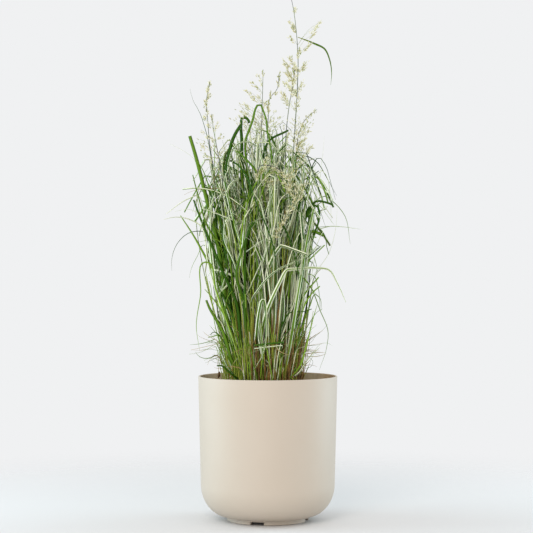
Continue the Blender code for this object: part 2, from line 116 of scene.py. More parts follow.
def makeBladeMaterial():
    s = bladeLook
    material, tree, shader = newMaterial("grassBladeGrown")
    uv = addNode(tree, "ShaderNodeUVMap", {"uv_map": "blade"})
    place = addNode(tree, "ShaderNodeSeparateXYZ", {}, {0: uv.outputs[0]})
    across, along = place.outputs[0], place.outputs[1]
    look = addNode(tree, "ShaderNodeAttribute", {"attribute_name": "look"})
    parts = addNode(tree, "ShaderNodeSeparateColor", {}, {0: look.outputs["Color"]})
    seed, creamShare, dry = parts.outputs[0], parts.outputs[1], parts.outputs[2]
    bright = look.outputs["Alpha"]
    # stripes run along the blade, and each blade has its own
    wide = addNode(tree, "ShaderNodeMath", {"operation": "MULTIPLY", 1: s["stripesAcross"]}, {0: across})
    own = addNode(tree, "ShaderNodeMath", {"operation": "MULTIPLY", 1: 71.0}, {0: seed})
    shifted = addNode(tree, "ShaderNodeMath", {"operation": "ADD"}, {0: wide.outputs[0], 1: own.outputs[0]})
    slow = addNode(tree, "ShaderNodeMath", {"operation": "MULTIPLY", 1: 1.1}, {0: along})
    spot = addNode(tree, "ShaderNodeCombineXYZ", {}, {0: shifted.outputs[0], 1: slow.outputs[0],
                                                      2: own.outputs[0]})
    stripes = addNode(tree, "ShaderNodeTexNoise", {"Scale": 1.0, "Detail": 1.0}, {"Vector": spot.outputs[0]})
    # cream keeps to the margins first, and takes the middle as its share grows
    centred = addNode(tree, "ShaderNodeMath", {"operation": "SUBTRACT", 1: 0.5}, {0: across})
    edge = addNode(tree, "ShaderNodeMath", {"operation": "ABSOLUTE"}, {0: centred.outputs[0]})
    uneven = addNode(tree, "ShaderNodeMath", {"operation": "MULTIPLY_ADD", 1: 0.9},
                     {0: stripes.outputs[0], 2: creamShare})
    margin = addNode(tree, "ShaderNodeMath", {"operation": "MULTIPLY_ADD", 1: 1.5},
                     {0: edge.outputs[0], 2: uneven.outputs[0]})
    mask = addNode(tree, "ShaderNodeMapRange",
                   {"interpolation_type": "SMOOTHSTEP", "From Min": 1.16, "From Max": 1.24},
                   {"Value": margin.outputs[0]})
    # green tissue
    fine = addNode(tree, "ShaderNodeTexNoise", {"Scale": 3.1, "Detail": 3.0}, {"Vector": spot.outputs[0]})
    greenMix = addNode(tree, "ShaderNodeMath", {"operation": "MULTIPLY_ADD", 1: 0.5, 2: -0.25},
                       {0: fine.outputs[0]})
    greenShare = addNode(tree, "ShaderNodeMath", {"operation": "ADD", "use_clamp": True},
                         {0: greenMix.outputs[0], 1: bright})
    green = addNode(tree, "ShaderNodeMix", {"data_type": "RGBA", 6: linear(s["deepGreen"]),
                                            7: linear(s["brightGreen"])}, {0: greenShare.outputs[0]})
    pale = addNode(tree, "ShaderNodeMix", {"data_type": "RGBA", 6: linear(s["paleGreen"]),
                                           7: linear(s["cream"])}, {0: fine.outputs[0]})
    upper = addNode(tree, "ShaderNodeMix", {"data_type": "RGBA"},
                    {0: mask.outputs[0], 6: green.outputs[2], 7: pale.outputs[2]})
    # the foot of a blade is yellower
    rise = addNode(tree, "ShaderNodeMapRange",
                   {"interpolation_type": "SMOOTHSTEP", "From Min": 0.04, "From Max": 0.32,
                    "To Min": 0.6, "To Max": 0.0}, {"Value": along})
    living = addNode(tree, "ShaderNodeMix", {"data_type": "RGBA", 7: linear(s["footGreen"])},
                     {0: rise.outputs[0], 6: upper.outputs[2]})
    # tips and old blades dry to straw and brown
    tip = addNode(tree, "ShaderNodeMath", {"operation": "MULTIPLY_ADD", 1: 0.55}, {0: along, 2: dry})
    patch = addNode(tree, "ShaderNodeMath", {"operation": "MULTIPLY_ADD", 1: 0.45},
                    {0: fine.outputs[0], 2: tip.outputs[0]})
    dryMask = addNode(tree, "ShaderNodeMapRange",
                      {"interpolation_type": "SMOOTHSTEP", "From Min": 0.86, "From Max": 1.08},
                      {"Value": patch.outputs[0]})
    old = addNode(tree, "ShaderNodeMix", {"data_type": "RGBA", 6: linear(s["brown"]),
                                          7: linear(s["straw"])}, {0: fine.outputs[0]})
    colour = addNode(tree, "ShaderNodeMix", {"data_type": "RGBA"},
                     {0: dryMask.outputs[0], 6: living.outputs[2], 7: old.outputs[2]})
    # veins: real ones are about 0.4 mm apart, drawn as coarse as a blade can show
    vein = addNode(tree, "ShaderNodeMath", {"operation": "MULTIPLY", 1: s["veinsAcross"] * 2 * math.pi},
                   {0: across})
    wave = addNode(tree, "ShaderNodeMath", {"operation": "SINE"}, {0: vein.outputs[0]})
    bump = addNode(tree, "ShaderNodeBump", {"Strength": 0.25, "Distance": 0.0003}, {"Height": wave.outputs[0]})
    tree.links.new(colour.outputs[2], shader.inputs["Base Color"])
    tree.links.new(bump.outputs[0], shader.inputs["Normal"])
    shader.inputs["Roughness"].default_value = s["roughness"]
    shader.inputs["Specular IOR Level"].default_value = 0.1
    return material


# sheathed culms: round stems wrapped in old leaf sheaths, dull and fibrous

culmLook = {"green": "#8FA236", "tan": "#B68E50", "brown": "#3C240A", "roughness": 0.62}


def makeCulmMaterial():
    s = culmLook
    material, tree, shader = newMaterial("leafSheathGrown")
    uv = addNode(tree, "ShaderNodeUVMap", {"uv_map": "blade"})
    place = addNode(tree, "ShaderNodeSeparateXYZ", {}, {0: uv.outputs[0]})
    look = addNode(tree, "ShaderNodeAttribute", {"attribute_name": "look"})
    parts = addNode(tree, "ShaderNodeSeparateColor", {}, {0: look.outputs["Color"]})
    own = addNode(tree, "ShaderNodeMath", {"operation": "MULTIPLY", 1: 53.0}, {0: parts.outputs[0]})
    wide = addNode(tree, "ShaderNodeMath", {"operation": "MULTIPLY_ADD", 1: 6.0},
                   {0: place.outputs[0], 2: own.outputs[0]})
    slow = addNode(tree, "ShaderNodeMath", {"operation": "MULTIPLY", 1: 12.0}, {0: place.outputs[1]})
    spot = addNode(tree, "ShaderNodeCombineXYZ", {}, {0: wide.outputs[0], 1: slow.outputs[0],
                                                      2: own.outputs[0]})
    fibre = addNode(tree, "ShaderNodeTexNoise", {"Scale": 1.0, "Detail": 4.0}, {"Vector": spot.outputs[0]})
    shade = addNode(tree, "ShaderNodeMath", {"operation": "MULTIPLY_ADD", 1: 0.9, 2: -1.05},
                    {0: parts.outputs[0]})
    tone = addNode(tree, "ShaderNodeMath", {"operation": "MULTIPLY_ADD", 1: 2.2, "use_clamp": True},
                   {0: fibre.outputs[0], 2: shade.outputs[0]})
    dryShade = addNode(tree, "ShaderNodeMix", {"data_type": "RGBA", 6: linear(s["brown"]),
                                               7: linear(s["tan"])}, {0: tone.outputs[0]})
    # brown at the foot, green higher up; the look's dry share moves the change upwards
    rise = addNode(tree, "ShaderNodeMath", {"operation": "SUBTRACT"},
                   {0: place.outputs[1], 1: parts.outputs[2]})
    mixed = addNode(tree, "ShaderNodeMath", {"operation": "MULTIPLY_ADD", 1: 0.5},
                    {0: fibre.outputs[0], 2: rise.outputs[0]})
    share = addNode(tree, "ShaderNodeMapRange",
                    {"interpolation_type": "SMOOTHSTEP", "From Min": 0.1, "From Max": 0.5},
                    {"Value": mixed.outputs[0]})
    colour = addNode(tree, "ShaderNodeMix", {"data_type": "RGBA", 7: linear(s["green"])},
                     {0: share.outputs[0], 6: dryShade.outputs[2]})
    bump = addNode(tree, "ShaderNodeBump", {"Strength": 0.4, "Distance": 0.0004}, {"Height": fibre.outputs[0]})
    tree.links.new(colour.outputs[2], shader.inputs["Base Color"])
    tree.links.new(bump.outputs[0], shader.inputs["Normal"])
    shader.inputs["Roughness"].default_value = s["roughness"]
    shader.inputs["Specular IOR Level"].default_value = 0.2
    return material


# flowering culm: thin, hard and waxy, with a grey-purple bloom; spikelets: dry papery husks

flowerLook = {
    "stemGreen": "#6E7A52",
    "stemPurple": "#4A4354",
    "huskPale": "#E9E4C4",
    "huskCream": "#D2CB9E",
    "huskGreen": "#8E9A52",
    "huskTan": "#B3A75E",
}


def makeFlowerStemMaterial():
    material, tree, shader = newMaterial("floweringCulmGrown")
    uv = addNode(tree, "ShaderNodeTexCoord")
    cloud = addNode(tree, "ShaderNodeTexNoise", {"Scale": 14.0, "Detail": 2.0}, {"Vector": uv.outputs["Object"]})
    colour = addNode(tree, "ShaderNodeValToRGB",
                     {"stops": [(0.35, flowerLook["stemPurple"]), (0.62, flowerLook["stemGreen"])]},
                     {0: cloud.outputs[0]})
    tree.links.new(colour.outputs[0], shader.inputs["Base Color"])
    shader.inputs["Roughness"].default_value = 0.45
    return material


def makeHuskMaterial():
    material, tree, shader = newMaterial("spikeletHuskPapery")
    look = addNode(tree, "ShaderNodeAttribute", {"attribute_name": "look"})
    parts = addNode(tree, "ShaderNodeSeparateColor", {}, {0: look.outputs["Color"]})
    colour = addNode(tree, "ShaderNodeValToRGB",
                     {"stops": [(0.0, flowerLook["huskTan"]), (0.3, flowerLook["huskGreen"]),
                                (0.6, flowerLook["huskCream"]), (1.0, flowerLook["huskPale"])]},
                     {0: parts.outputs[0]})
    tree.links.new(colour.outputs[0], shader.inputs["Base Color"])
    shader.inputs["Roughness"].default_value = 0.7
    return material


# planter: rotomoulded polyethylene with stone dust, matte, with the mould's fine grain

potLook = {"body": "#C2B6A8", "warm": "#BCAF9F", "inside": "#C4A57A", "stain": "#96734A",
           "grainSize": 0.9 * mm, "roughness": 0.5}


def makePotMaterial():
    s = potLook
    material, tree, shader = newMaterial("mineralPlasticMoulded")
    spot = addNode(tree, "ShaderNodeTexCoord")
    place = addNode(tree, "ShaderNodeSeparateXYZ", {}, {0: spot.outputs["Object"]})
    cloud = addNode(tree, "ShaderNodeTexNoise", {"Scale": 7.0, "Detail": 3.0}, {"Vector": spot.outputs["Object"]})
    body = addNode(tree, "ShaderNodeMix", {"data_type": "RGBA", 6: linear(s["body"]),
                                           7: linear(s["warm"])}, {0: cloud.outputs[0]})
    # the inner wall above the soil is browner than the outside, with faint darker streaks that water has left
    xx = addNode(tree, "ShaderNodeMath", {"operation": "MULTIPLY"}, {0: place.outputs[0], 1: place.outputs[0]})
    rr = addNode(tree, "ShaderNodeMath", {"operation": "MULTIPLY_ADD"},
                 {0: place.outputs[1], 1: place.outputs[1], 2: xx.outputs[0]})
    inner = addNode(tree, "ShaderNodeMapRange",
                    {"From Min": 0.1462 ** 2, "From Max": 0.1454 ** 2}, {"Value": rr.outputs[0]})
    above = addNode(tree, "ShaderNodeMapRange", {"From Min": 0.240, "From Max": 0.250},
                    {"Value": place.outputs[2]})
    inside = addNode(tree, "ShaderNodeMath", {"operation": "MULTIPLY"}, {0: inner.outputs[0], 1: above.outputs[0]})
    stretched = addNode(tree, "ShaderNodeMapping", {"Scale": (60.0, 60.0, 3.0)}, {0: spot.outputs["Object"]})
    streak = addNode(tree, "ShaderNodeTexNoise", {"Scale": 1.0, "Detail": 3.0}, {"Vector": stretched.outputs[0]})
    innerColour = addNode(tree, "ShaderNodeMix", {"data_type": "RGBA", 6: linear(s["stain"]),
                                                  7: linear(s["inside"])}, {0: streak.outputs[0]})
    colour = addNode(tree, "ShaderNodeMix", {"data_type": "RGBA"},
                     {0: inside.outputs[0], 6: body.outputs[2], 7: innerColour.outputs[2]})
    grain = addNode(tree, "ShaderNodeTexNoise", {"Scale": 1.0 / s["grainSize"], "Detail": 2.0},
                    {"Vector": spot.outputs["Object"]})
    bump = addNode(tree, "ShaderNodeBump", {"Strength": 0.18, "Distance": 0.0002}, {"Height": grain.outputs[0]})
    rough = addNode(tree, "ShaderNodeMapRange", {"To Min": s["roughness"] - 0.06, "To Max": s["roughness"] + 0.08},
                    {"Value": cloud.outputs[0]})
    tree.links.new(colour.outputs[2], shader.inputs["Base Color"])
    tree.links.new(bump.outputs[0], shader.inputs["Normal"])
    tree.links.new(rough.outputs[0], shader.inputs["Roughness"])
    return material


# potting mix: peat and bark crumbs, dark and quite dull

def makeSoilMaterial():
    material, tree, shader = newMaterial("pottingMixCrumbled")
    spot = addNode(tree, "ShaderNodeTexCoord")
    crumbs = addNode(tree, "ShaderNodeTexVoronoi", {"Scale": 320.0}, {"Vector": spot.outputs["Object"]})
    cloud = addNode(tree, "ShaderNodeTexNoise", {"Scale": 60.0, "Detail": 5.0}, {"Vector": spot.outputs["Object"]})
    colour = addNode(tree, "ShaderNodeValToRGB",
                     {"stops": [(0.30, "#20160F"), (0.50, "#3B2A1C"), (0.62, "#5A4330"), (0.75, "#2C2016")]},
                     {0: cloud.outputs[0]})
    bump = addNode(tree, "ShaderNodeBump", {"Strength": 0.9, "Distance": 0.0015}, {"Height": crumbs.outputs[0]})
    tree.links.new(colour.outputs[0], shader.inputs["Base Color"])
    tree.links.new(bump.outputs[0], shader.inputs["Normal"])
    shader.inputs["Roughness"].default_value = 0.95
    return material


bladeMat = makeBladeMaterial()
culmMat = makeCulmMaterial()
flowerStemMat = makeFlowerStemMaterial()
huskMat = makeHuskMaterial()
potMat = makePotMaterial()
soilMat = makeSoilMaterial()
print("materials ready")


# sweeping: every blade, culm and spikelet is a closed skin of rings along a path

def startDraft():
    return {"points": [], "faces": [], "blade": [], "bake": [], "looks": [], "slots": [],
            "count": 0, "strips": 0}


def addSweep(draft, rings, sides, look, slot=0, ownStrip=True):
    # rings is steps x corners x 3; sides gives where each side lies across the blade
    steps, corners = rings.shape[:2]
    grid = draft["count"] + np.arange(steps * corners).reshape(steps, corners)
    draft["points"].append(rings.reshape(-1, 3))
    draft["looks"].append(np.tile(np.array(look, dtype=np.float32), (steps * corners, 1)))
    draft["count"] += steps * corners
    rise = np.linspace(0.0, 1.0, steps)
    strip = draft["strips"]
    for side in range(corners):
        after = (side + 1) % corners
        face = np.stack([grid[:-1, side], grid[:-1, after], grid[1:, after], grid[1:, side]], axis=1)
        draft["faces"].extend(face.tolist())
        start, end = sides[side]
        uv = np.empty((steps - 1, 4, 2))
        uv[:, 0] = np.stack([np.full(steps - 1, start), rise[:-1]], axis=1)
        uv[:, 1] = np.stack([np.full(steps - 1, end), rise[:-1]], axis=1)
        uv[:, 2] = np.stack([np.full(steps - 1, end), rise[1:]], axis=1)
        uv[:, 3] = np.stack([np.full(steps - 1, start), rise[1:]], axis=1)
        draft["blade"].append(uv.reshape(-1, 2))
        flat = uv.copy()
        flat[:, (0, 3), 0] = strip + (0.06 + 0.88 * side / corners)
        flat[:, (1, 2), 0] = strip + (0.06 + 0.88 * (side + 1) / corners)
        flat[:, :, 1] = 0.01 + 0.98 * flat[:, :, 1]
        draft["bake"].append(flat.reshape(-1, 2))
    for ring, order in ((grid[0], -1), (grid[-1], 1)):
        draft["faces"].append(ring[::order].tolist())
        place = rise[0] if order < 0 else rise[-1]
        draft["blade"].append(np.full((corners, 2), (0.5, place)))
        draft["bake"].append(np.full((corners, 2), (strip + 0.5, 0.01 + 0.98 * place)))
    draft["slots"].extend([slot] * ((steps - 1) * corners + 2))
    if ownStrip:
        draft["strips"] += 1


def finishDraft(draft, name, materials, bakeStrips=True):
    mesh = bpy.data.meshes.new(name)
    mesh.from_pydata(np.concatenate(draft["points"]).tolist(), [], draft["faces"])
    layer = mesh.uv_layers.new(name="blade")
    layer.data.foreach_set("uv", np.concatenate(draft["blade"]).astype(np.float32).ravel())
    if bakeStrips:
        # each blade is its own upright strip on the map named OFBake, for baking
        bake = np.concatenate(draft["bake"])
        bake[:, 0] /= max(draft["strips"], 1)
        layer = mesh.uv_layers.new(name="OFBake")
        layer.data.foreach_set("uv", bake.astype(np.float32).ravel())
    looks = mesh.color_attributes.new(name="look", type="FLOAT_COLOR", domain="POINT")
    looks.data.foreach_set("color", np.concatenate(draft["looks"]).ravel())
    for material in materials:
        mesh.materials.append(material)
    mesh.polygons.foreach_set("material_index", draft["slots"])
    mesh.polygons.foreach_set("use_smooth", [True] * len(draft["faces"]))
    mesh.update()
    thing = bpy.data.objects.new(name, mesh)
    bpy.context.scene.collection.objects.link(thing)
    return thing


def unit(vectors):
    return vectors / np.maximum(np.linalg.norm(vectors, axis=-1, keepdims=True), 1e-9)


def smoothPath(points, count):
    # a smooth curve through given points
    points = np.array(points, dtype=float)
    gaps = np.linalg.norm(np.diff(points, axis=0), axis=1)
    knots = np.concatenate([[0.0], np.cumsum(gaps)])
    slopes = np.gradient(points, knots, axis=0)
    wanted = np.linspace(0.0, knots[-1], count)
    spans = np.clip(np.searchsorted(knots, wanted, side="right") - 1, 0, len(points) - 2)
    width = gaps[spans][:, None]
    t = ((wanted - knots[spans]) / gaps[spans])[:, None]
    a, b = points[spans], points[spans + 1]
    ma, mb = slopes[spans] * width, slopes[spans + 1] * width
    return ((2 * t ** 3 - 3 * t ** 2 + 1) * a + (t ** 3 - 2 * t ** 2 + t) * ma
            + (3 * t ** 2 - 2 * t ** 3) * b + (t ** 3 - t ** 2) * mb)


def leanPath(start, leans, length, count=26):
    # a path that leans from upright, as the (share, angle, azimuth) entries say
    shares = (np.arange(count - 1) + 0.5) / (count - 1)
    places, tilts, azimuths = zip(*leans)
    tilt = np.interp(shares, places, tilts)
    way = np.interp(shares, places, azimuths)
    moves = np.stack([np.sin(tilt) * np.cos(way), np.sin(tilt) * np.sin(way), np.cos(tilt)], axis=1)
    moves *= length / (count - 1)
    return np.concatenate([[np.array(start)], np.array(start) + np.cumsum(moves, axis=0)])


def sweepFrames(path, facing, twist):
    # directions along, across and up, carried along the path without spin, then twisted
    along = unit(np.gradient(path, axis=0))
    way = np.array([math.cos(facing), math.sin(facing), 0.0])
    way = unit(way - along[0] * (way @ along[0]))
    across = np.empty_like(path)
    before = along[0]
    for i, t in enumerate(along):
        way = unit(way - (before + t) * (way @ t) / max(1 + before @ t, 1e-6))
        across[i] = way
        before = t
    up = np.cross(along, across)
    turn = np.linspace(0.0, twist, len(path))[:, None]
    turned = across * np.cos(turn) + up * np.sin(turn)
    return along, turned, np.cross(along, turned)


bladeSides = [(0.0, 0.5), (0.5, 1.0), (1.0, 0.5), (0.5, 0.0)]
bladeThickness = 0.45 * mm


def heldIn(rings):
    # nothing reaches past the box of the solids
    low, high = cadBox
    inset = 0.0002
    return np.clip(rings, np.array(low) + inset, np.array(high) - inset)


def addBlade(draft, path, width, facing, look, twist=0.0, fold=0.35, blunt=0.12, foot=0.5, taper=3.2):
    # a thin keeled blade; foot and blunt are its width at its ends as shares
    steps = len(path)
    share = np.linspace(0.0, 1.0, steps)
    rise = np.clip(foot + share * (1 - foot) / 0.3, 0, 1)
    fall = 1 - (1 - blunt) * share ** taper
    half = (width / 2 * rise * fall)[:, None]
    along, across, up = sweepFrames(path, facing, twist)
    keel = up * half * fold
    thick = up * bladeThickness / 2
    rings = np.stack([path + across * half + keel, path + thick, path - across * half + keel,
                      path - thick], axis=1)
    addSweep(draft, heldIn(rings), bladeSides, look)


def addTube(draft, path, radii, look, slot=1, corners=6, ownStrip=True):
    along, across, up = sweepFrames(path, 0.3, 0.0)
    turns = np.arange(corners) / corners * 2 * math.pi
    radii = np.array(radii)[:, None, None]
    rings = path[:, None] + radii * (across[:, None] * np.cos(turns)[None, :, None]
                                     + up[:, None] * np.sin(turns)[None, :, None])
    sides = [(i / corners, (i + 1) / corners) for i in range(corners)]
    addSweep(draft, heldIn(rings), sides, look, slot, ownStrip)


# the clump's own looks: share of cream, dryness and brightness of the green for each kind

bladeKinds = {
    "cream": {"cream": (0.48, 0.8), "dry": (0.0, 0.12), "bright": (0.1, 0.5)},
    "margin": {"cream": (0.34, 0.5), "dry": (0.0, 0.12), "bright": (0.0, 0.35)},
    "edged": {"cream": (0.16, 0.26), "dry": (0.0, 0.06), "bright": (0.1, 0.35)},
    "green": {"cream": (-0.2, 0.05), "dry": (0.0, 0.10), "bright": (0.3, 0.8)},
    "fresh": {"cream": (-0.5, -0.3), "dry": (0.0, 0.0), "bright": (0.2, 0.45)},
    "deep": {"cream": (-0.5, 0.05), "dry": (0.0, 0.12), "bright": (-0.1, 0.12)},
    "dry": {"cream": (0.5, 0.8), "dry": (0.3, 0.6), "bright": (0.2, 0.4)},
}


def kindLook(rng, kind):
    ranges = bladeKinds[kind]
    return (rng.random(), rng.uniform(*ranges["cream"]), rng.uniform(*ranges["dry"]),
            rng.uniform(*ranges["bright"]))


def standFor(piece, slot, *nodes):
    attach(piece, "root")
    if nodes:
        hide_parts(*nodes)


# long leaves that the eye picks out: points in mm from foot to tip, width in mm, kind

longLeaves = {
    "leaf_01": {"points": [(-72, -28, 292), (-80, -40, 380), (-90, -50, 475), (-108, -52, 600),
                           (-129, -52, 685), (-157, -50, 794), (-166, -50, 824)],
                "width": 9.5, "facing": 0, "kind": "fresh", "blunt": 0.75},
    "leaf_02": {"points": [(-53, -53, 292), (-58, -68, 400), (-67, -75, 471), (-94, -76, 532),
                           (-121, -76, 596), (-143, -75, 649), (-157, -75, 687)],
                "width": 7.0, "facing": 10, "kind": "deep", "blunt": 0.5},
    "leaf_03": {"points": [(-77, -8, 292), (-82, -20, 380), (-90, -28, 440), (-112, -30, 525),
                           (-136, -30, 571), (-159, -30, 612), (-187, -30, 655)],
                "width": 6.5, "facing": 15, "kind": "green", "blunt": 0.3},
    "leaf_04": {"points": [(-75, 15, 292), (-92, 6, 400), (-124, 0, 560), (-140, 0, 676),
                           (-148, -6, 698), (-172, -30, 690), (-215, -80, 657)],
                "width": 4.4, "facing": 60, "kind": "cream", "blunt": 0.2},
    "leaf_05": {"points": [(-64, -41, 292), (-84, -54, 400), (-128, -66, 560), (-142, -78, 632),
                           (-165, -95, 645), (-190, -125, 649), (-215, -165, 643)],
                "width": 4.0, "facing": 50, "kind": "cream", "blunt": 0.2},
    "leaf_06": {"points": [(-67, 35, 292), (-86, 38, 400), (-118, 34, 560), (-140, 31, 622),
                           (-172, 30, 619), (-195, 30, 599), (-209, 30, 563), (-209, 30, 536)],
                "width": 2.8, "facing": 50, "kind": "deep", "blunt": 0.1},
    "leaf_07": {"points": [(-43, -60, 292), (-76, -80, 400), (-110, -88, 500), (-126, -92, 555),
                           (-133, -96, 555), (-141, -100, 486), (-150, -100, 419), (-143, -100, 369)],
                "width": 4.2, "facing": 40, "kind": "green", "blunt": 0.1},
    "leaf_08": {"points": [(-57, 49, 292), (-80, 32, 420), (-105, 20, 640), (-120, 20, 764),
                           (-137, 20, 849), (-149, 20, 883), (-162, 20, 906), (-169, 20, 931)],
                "width": 2.8, "facing": 35, "kind": "deep", "blunt": 0.1},
    "leaf_09": {"points": [(5, -56, 292), (-12, -64, 390), (-2, -104, 452), (11, -119, 484),
                           (25, -120, 513), (37, -119, 536), (39, -118, 538.5), (42, -117, 539.5),
                           (60, -112, 541), (103, -101, 543), (128, -100, 539), (146, -100, 511),
                           (164, -100, 471)],
                "width": 10.0, "facing": 0, "kind": "margin", "blunt": 0.1, "taper": 2.2,
                "fold": 0.1, "steps": 130},
    "leaf_10": {"points": [(53, 23, 292), (66, 45, 400), (88, 70, 560), (106, 80, 624),
                           (133, 92, 634), (160, 125, 635), (215, 190, 630)],
                "width": 3.0, "facing": 60, "kind": "cream", "blunt": 0.1},
    "leaf_11": {"points": [(46, 38, 292), (62, 58, 420), (86, 86, 600), (110, 98, 694),
                           (122, 100, 702), (150, 100, 685), (170, 100, 660), (183, 100, 596)],
                "width": 3.4, "facing": 50, "kind": "green", "blunt": 0.1},
    "leaf_12": {"points": [(57, 7, 292), (66, 30, 480), (76, 52, 700), (86, 59, 788),
                           (107, 60, 776), (128, 60, 743), (151, 60, 701)],
                "width": 4.6, "facing": 40, "kind": "deep", "blunt": 0.1},
    "leaf_13": {"points": [(44, -42, 292), (56, -60, 400), (66, -75, 490), (75, -80, 522),
                           (87, -80, 507), (111, -80, 451), (127, -80, 408), (124, -80, 375),
                           (109, -80, 328)],
                "width": 4.0, "facing": 40, "kind": "green", "blunt": 0.1},
    "leaf_14": {"points": [(31, -54, 292), (50, -86, 400), (61, -110, 475), (75, -112, 562),
                           (89, -112, 638), (96, -112, 667)],
                "width": 7.4, "facing": 10, "kind": "edged", "blunt": 0.5},
    "leaf_15": {"points": [(-29, -65, 292), (-45, -80, 400), (-48, -105, 520), (-40, -120, 618),
                           (-29, -132, 637), (-12, -160, 617), (0, -190, 594), (6, -210, 562),
                           (8, -215, 537)],
                "width": 6.0, "facing": 10, "kind": "deep", "blunt": 0.2},
    "leaf_16": {"points": [(-10, 68, 292), (-2, 85, 400), (8, 120, 540), (14, 150, 621),
                           (20, 185, 633), (22, 215, 590)],
                "width": 6.0, "facing": 10, "kind": "cream", "blunt": 0.2},
    "leaf_17": {"points": [(19, -50, 292), (6, -60, 420), (-3, -84, 520), (6, -108, 554),
                           (26, -121, 588), (27.5, -122, 589.5), (29.5, -122, 589), (56, -122, 580),
                           (80, -122, 571)],
                "width": 9.6, "facing": 0, "kind": "margin", "blunt": 0.8, "fold": 0.1,
                "steps": 130},
    "leaf_18": {"points": [(-12, -69, 292), (-24, -66, 520), (-32, -58, 713), (-41, -54, 741),
                           (-46, -52, 773), (-46, -52, 820), (-40, -52, 836), (-32, -52, 858),
                           (-26, -52, 882), (-22, -53, 889), (-16, -54, 890), (-11, -56, 879),
                           (-4, -64, 858), (-2, -74, 836), (3, -84, 810), (7, -94, 785),
                           (8, -100, 755)],
                "width": 6.0, "facing": 0, "kind": "fresh", "blunt": 0.5, "steps": 90},
    "leaf_19": {"points": [(-34, 63, 292), (-44, 40, 500), (-55, -20, 740), (-56, -30, 820),
                           (-57, -30, 852), (-55, -30, 863), (-49, -30, 865), (-42, -30, 860),
                           (-40, -30, 853)],
                "width": 9.4, "facing": 0, "kind": "deep", "blunt": 0.6, "steps": 110},
}


def makeLongLeaves():
    for index, (node, plan) in enumerate(longLeaves.items()):
        rng = random.Random(300 + index)
        draft = startDraft()
        path = smoothPath(np.array(plan["points"]) * mm, plan.get("steps", 46))
        addBlade(draft, path, plan["width"] * mm, math.radians(plan["facing"]) * 0.6,
                 kindLook(rng, plan["kind"]), twist=rng.uniform(-0.3, 0.3), fold=plan.get("fold", 0.3),
                 blunt=plan["blunt"], taper=plan.get("taper", 3.2))
        leaf = finishDraft(draft, "longLeaf" + node[-2:], [bladeMat])
        standFor(leaf, "long_leaf", node)


makeLongLeaves()

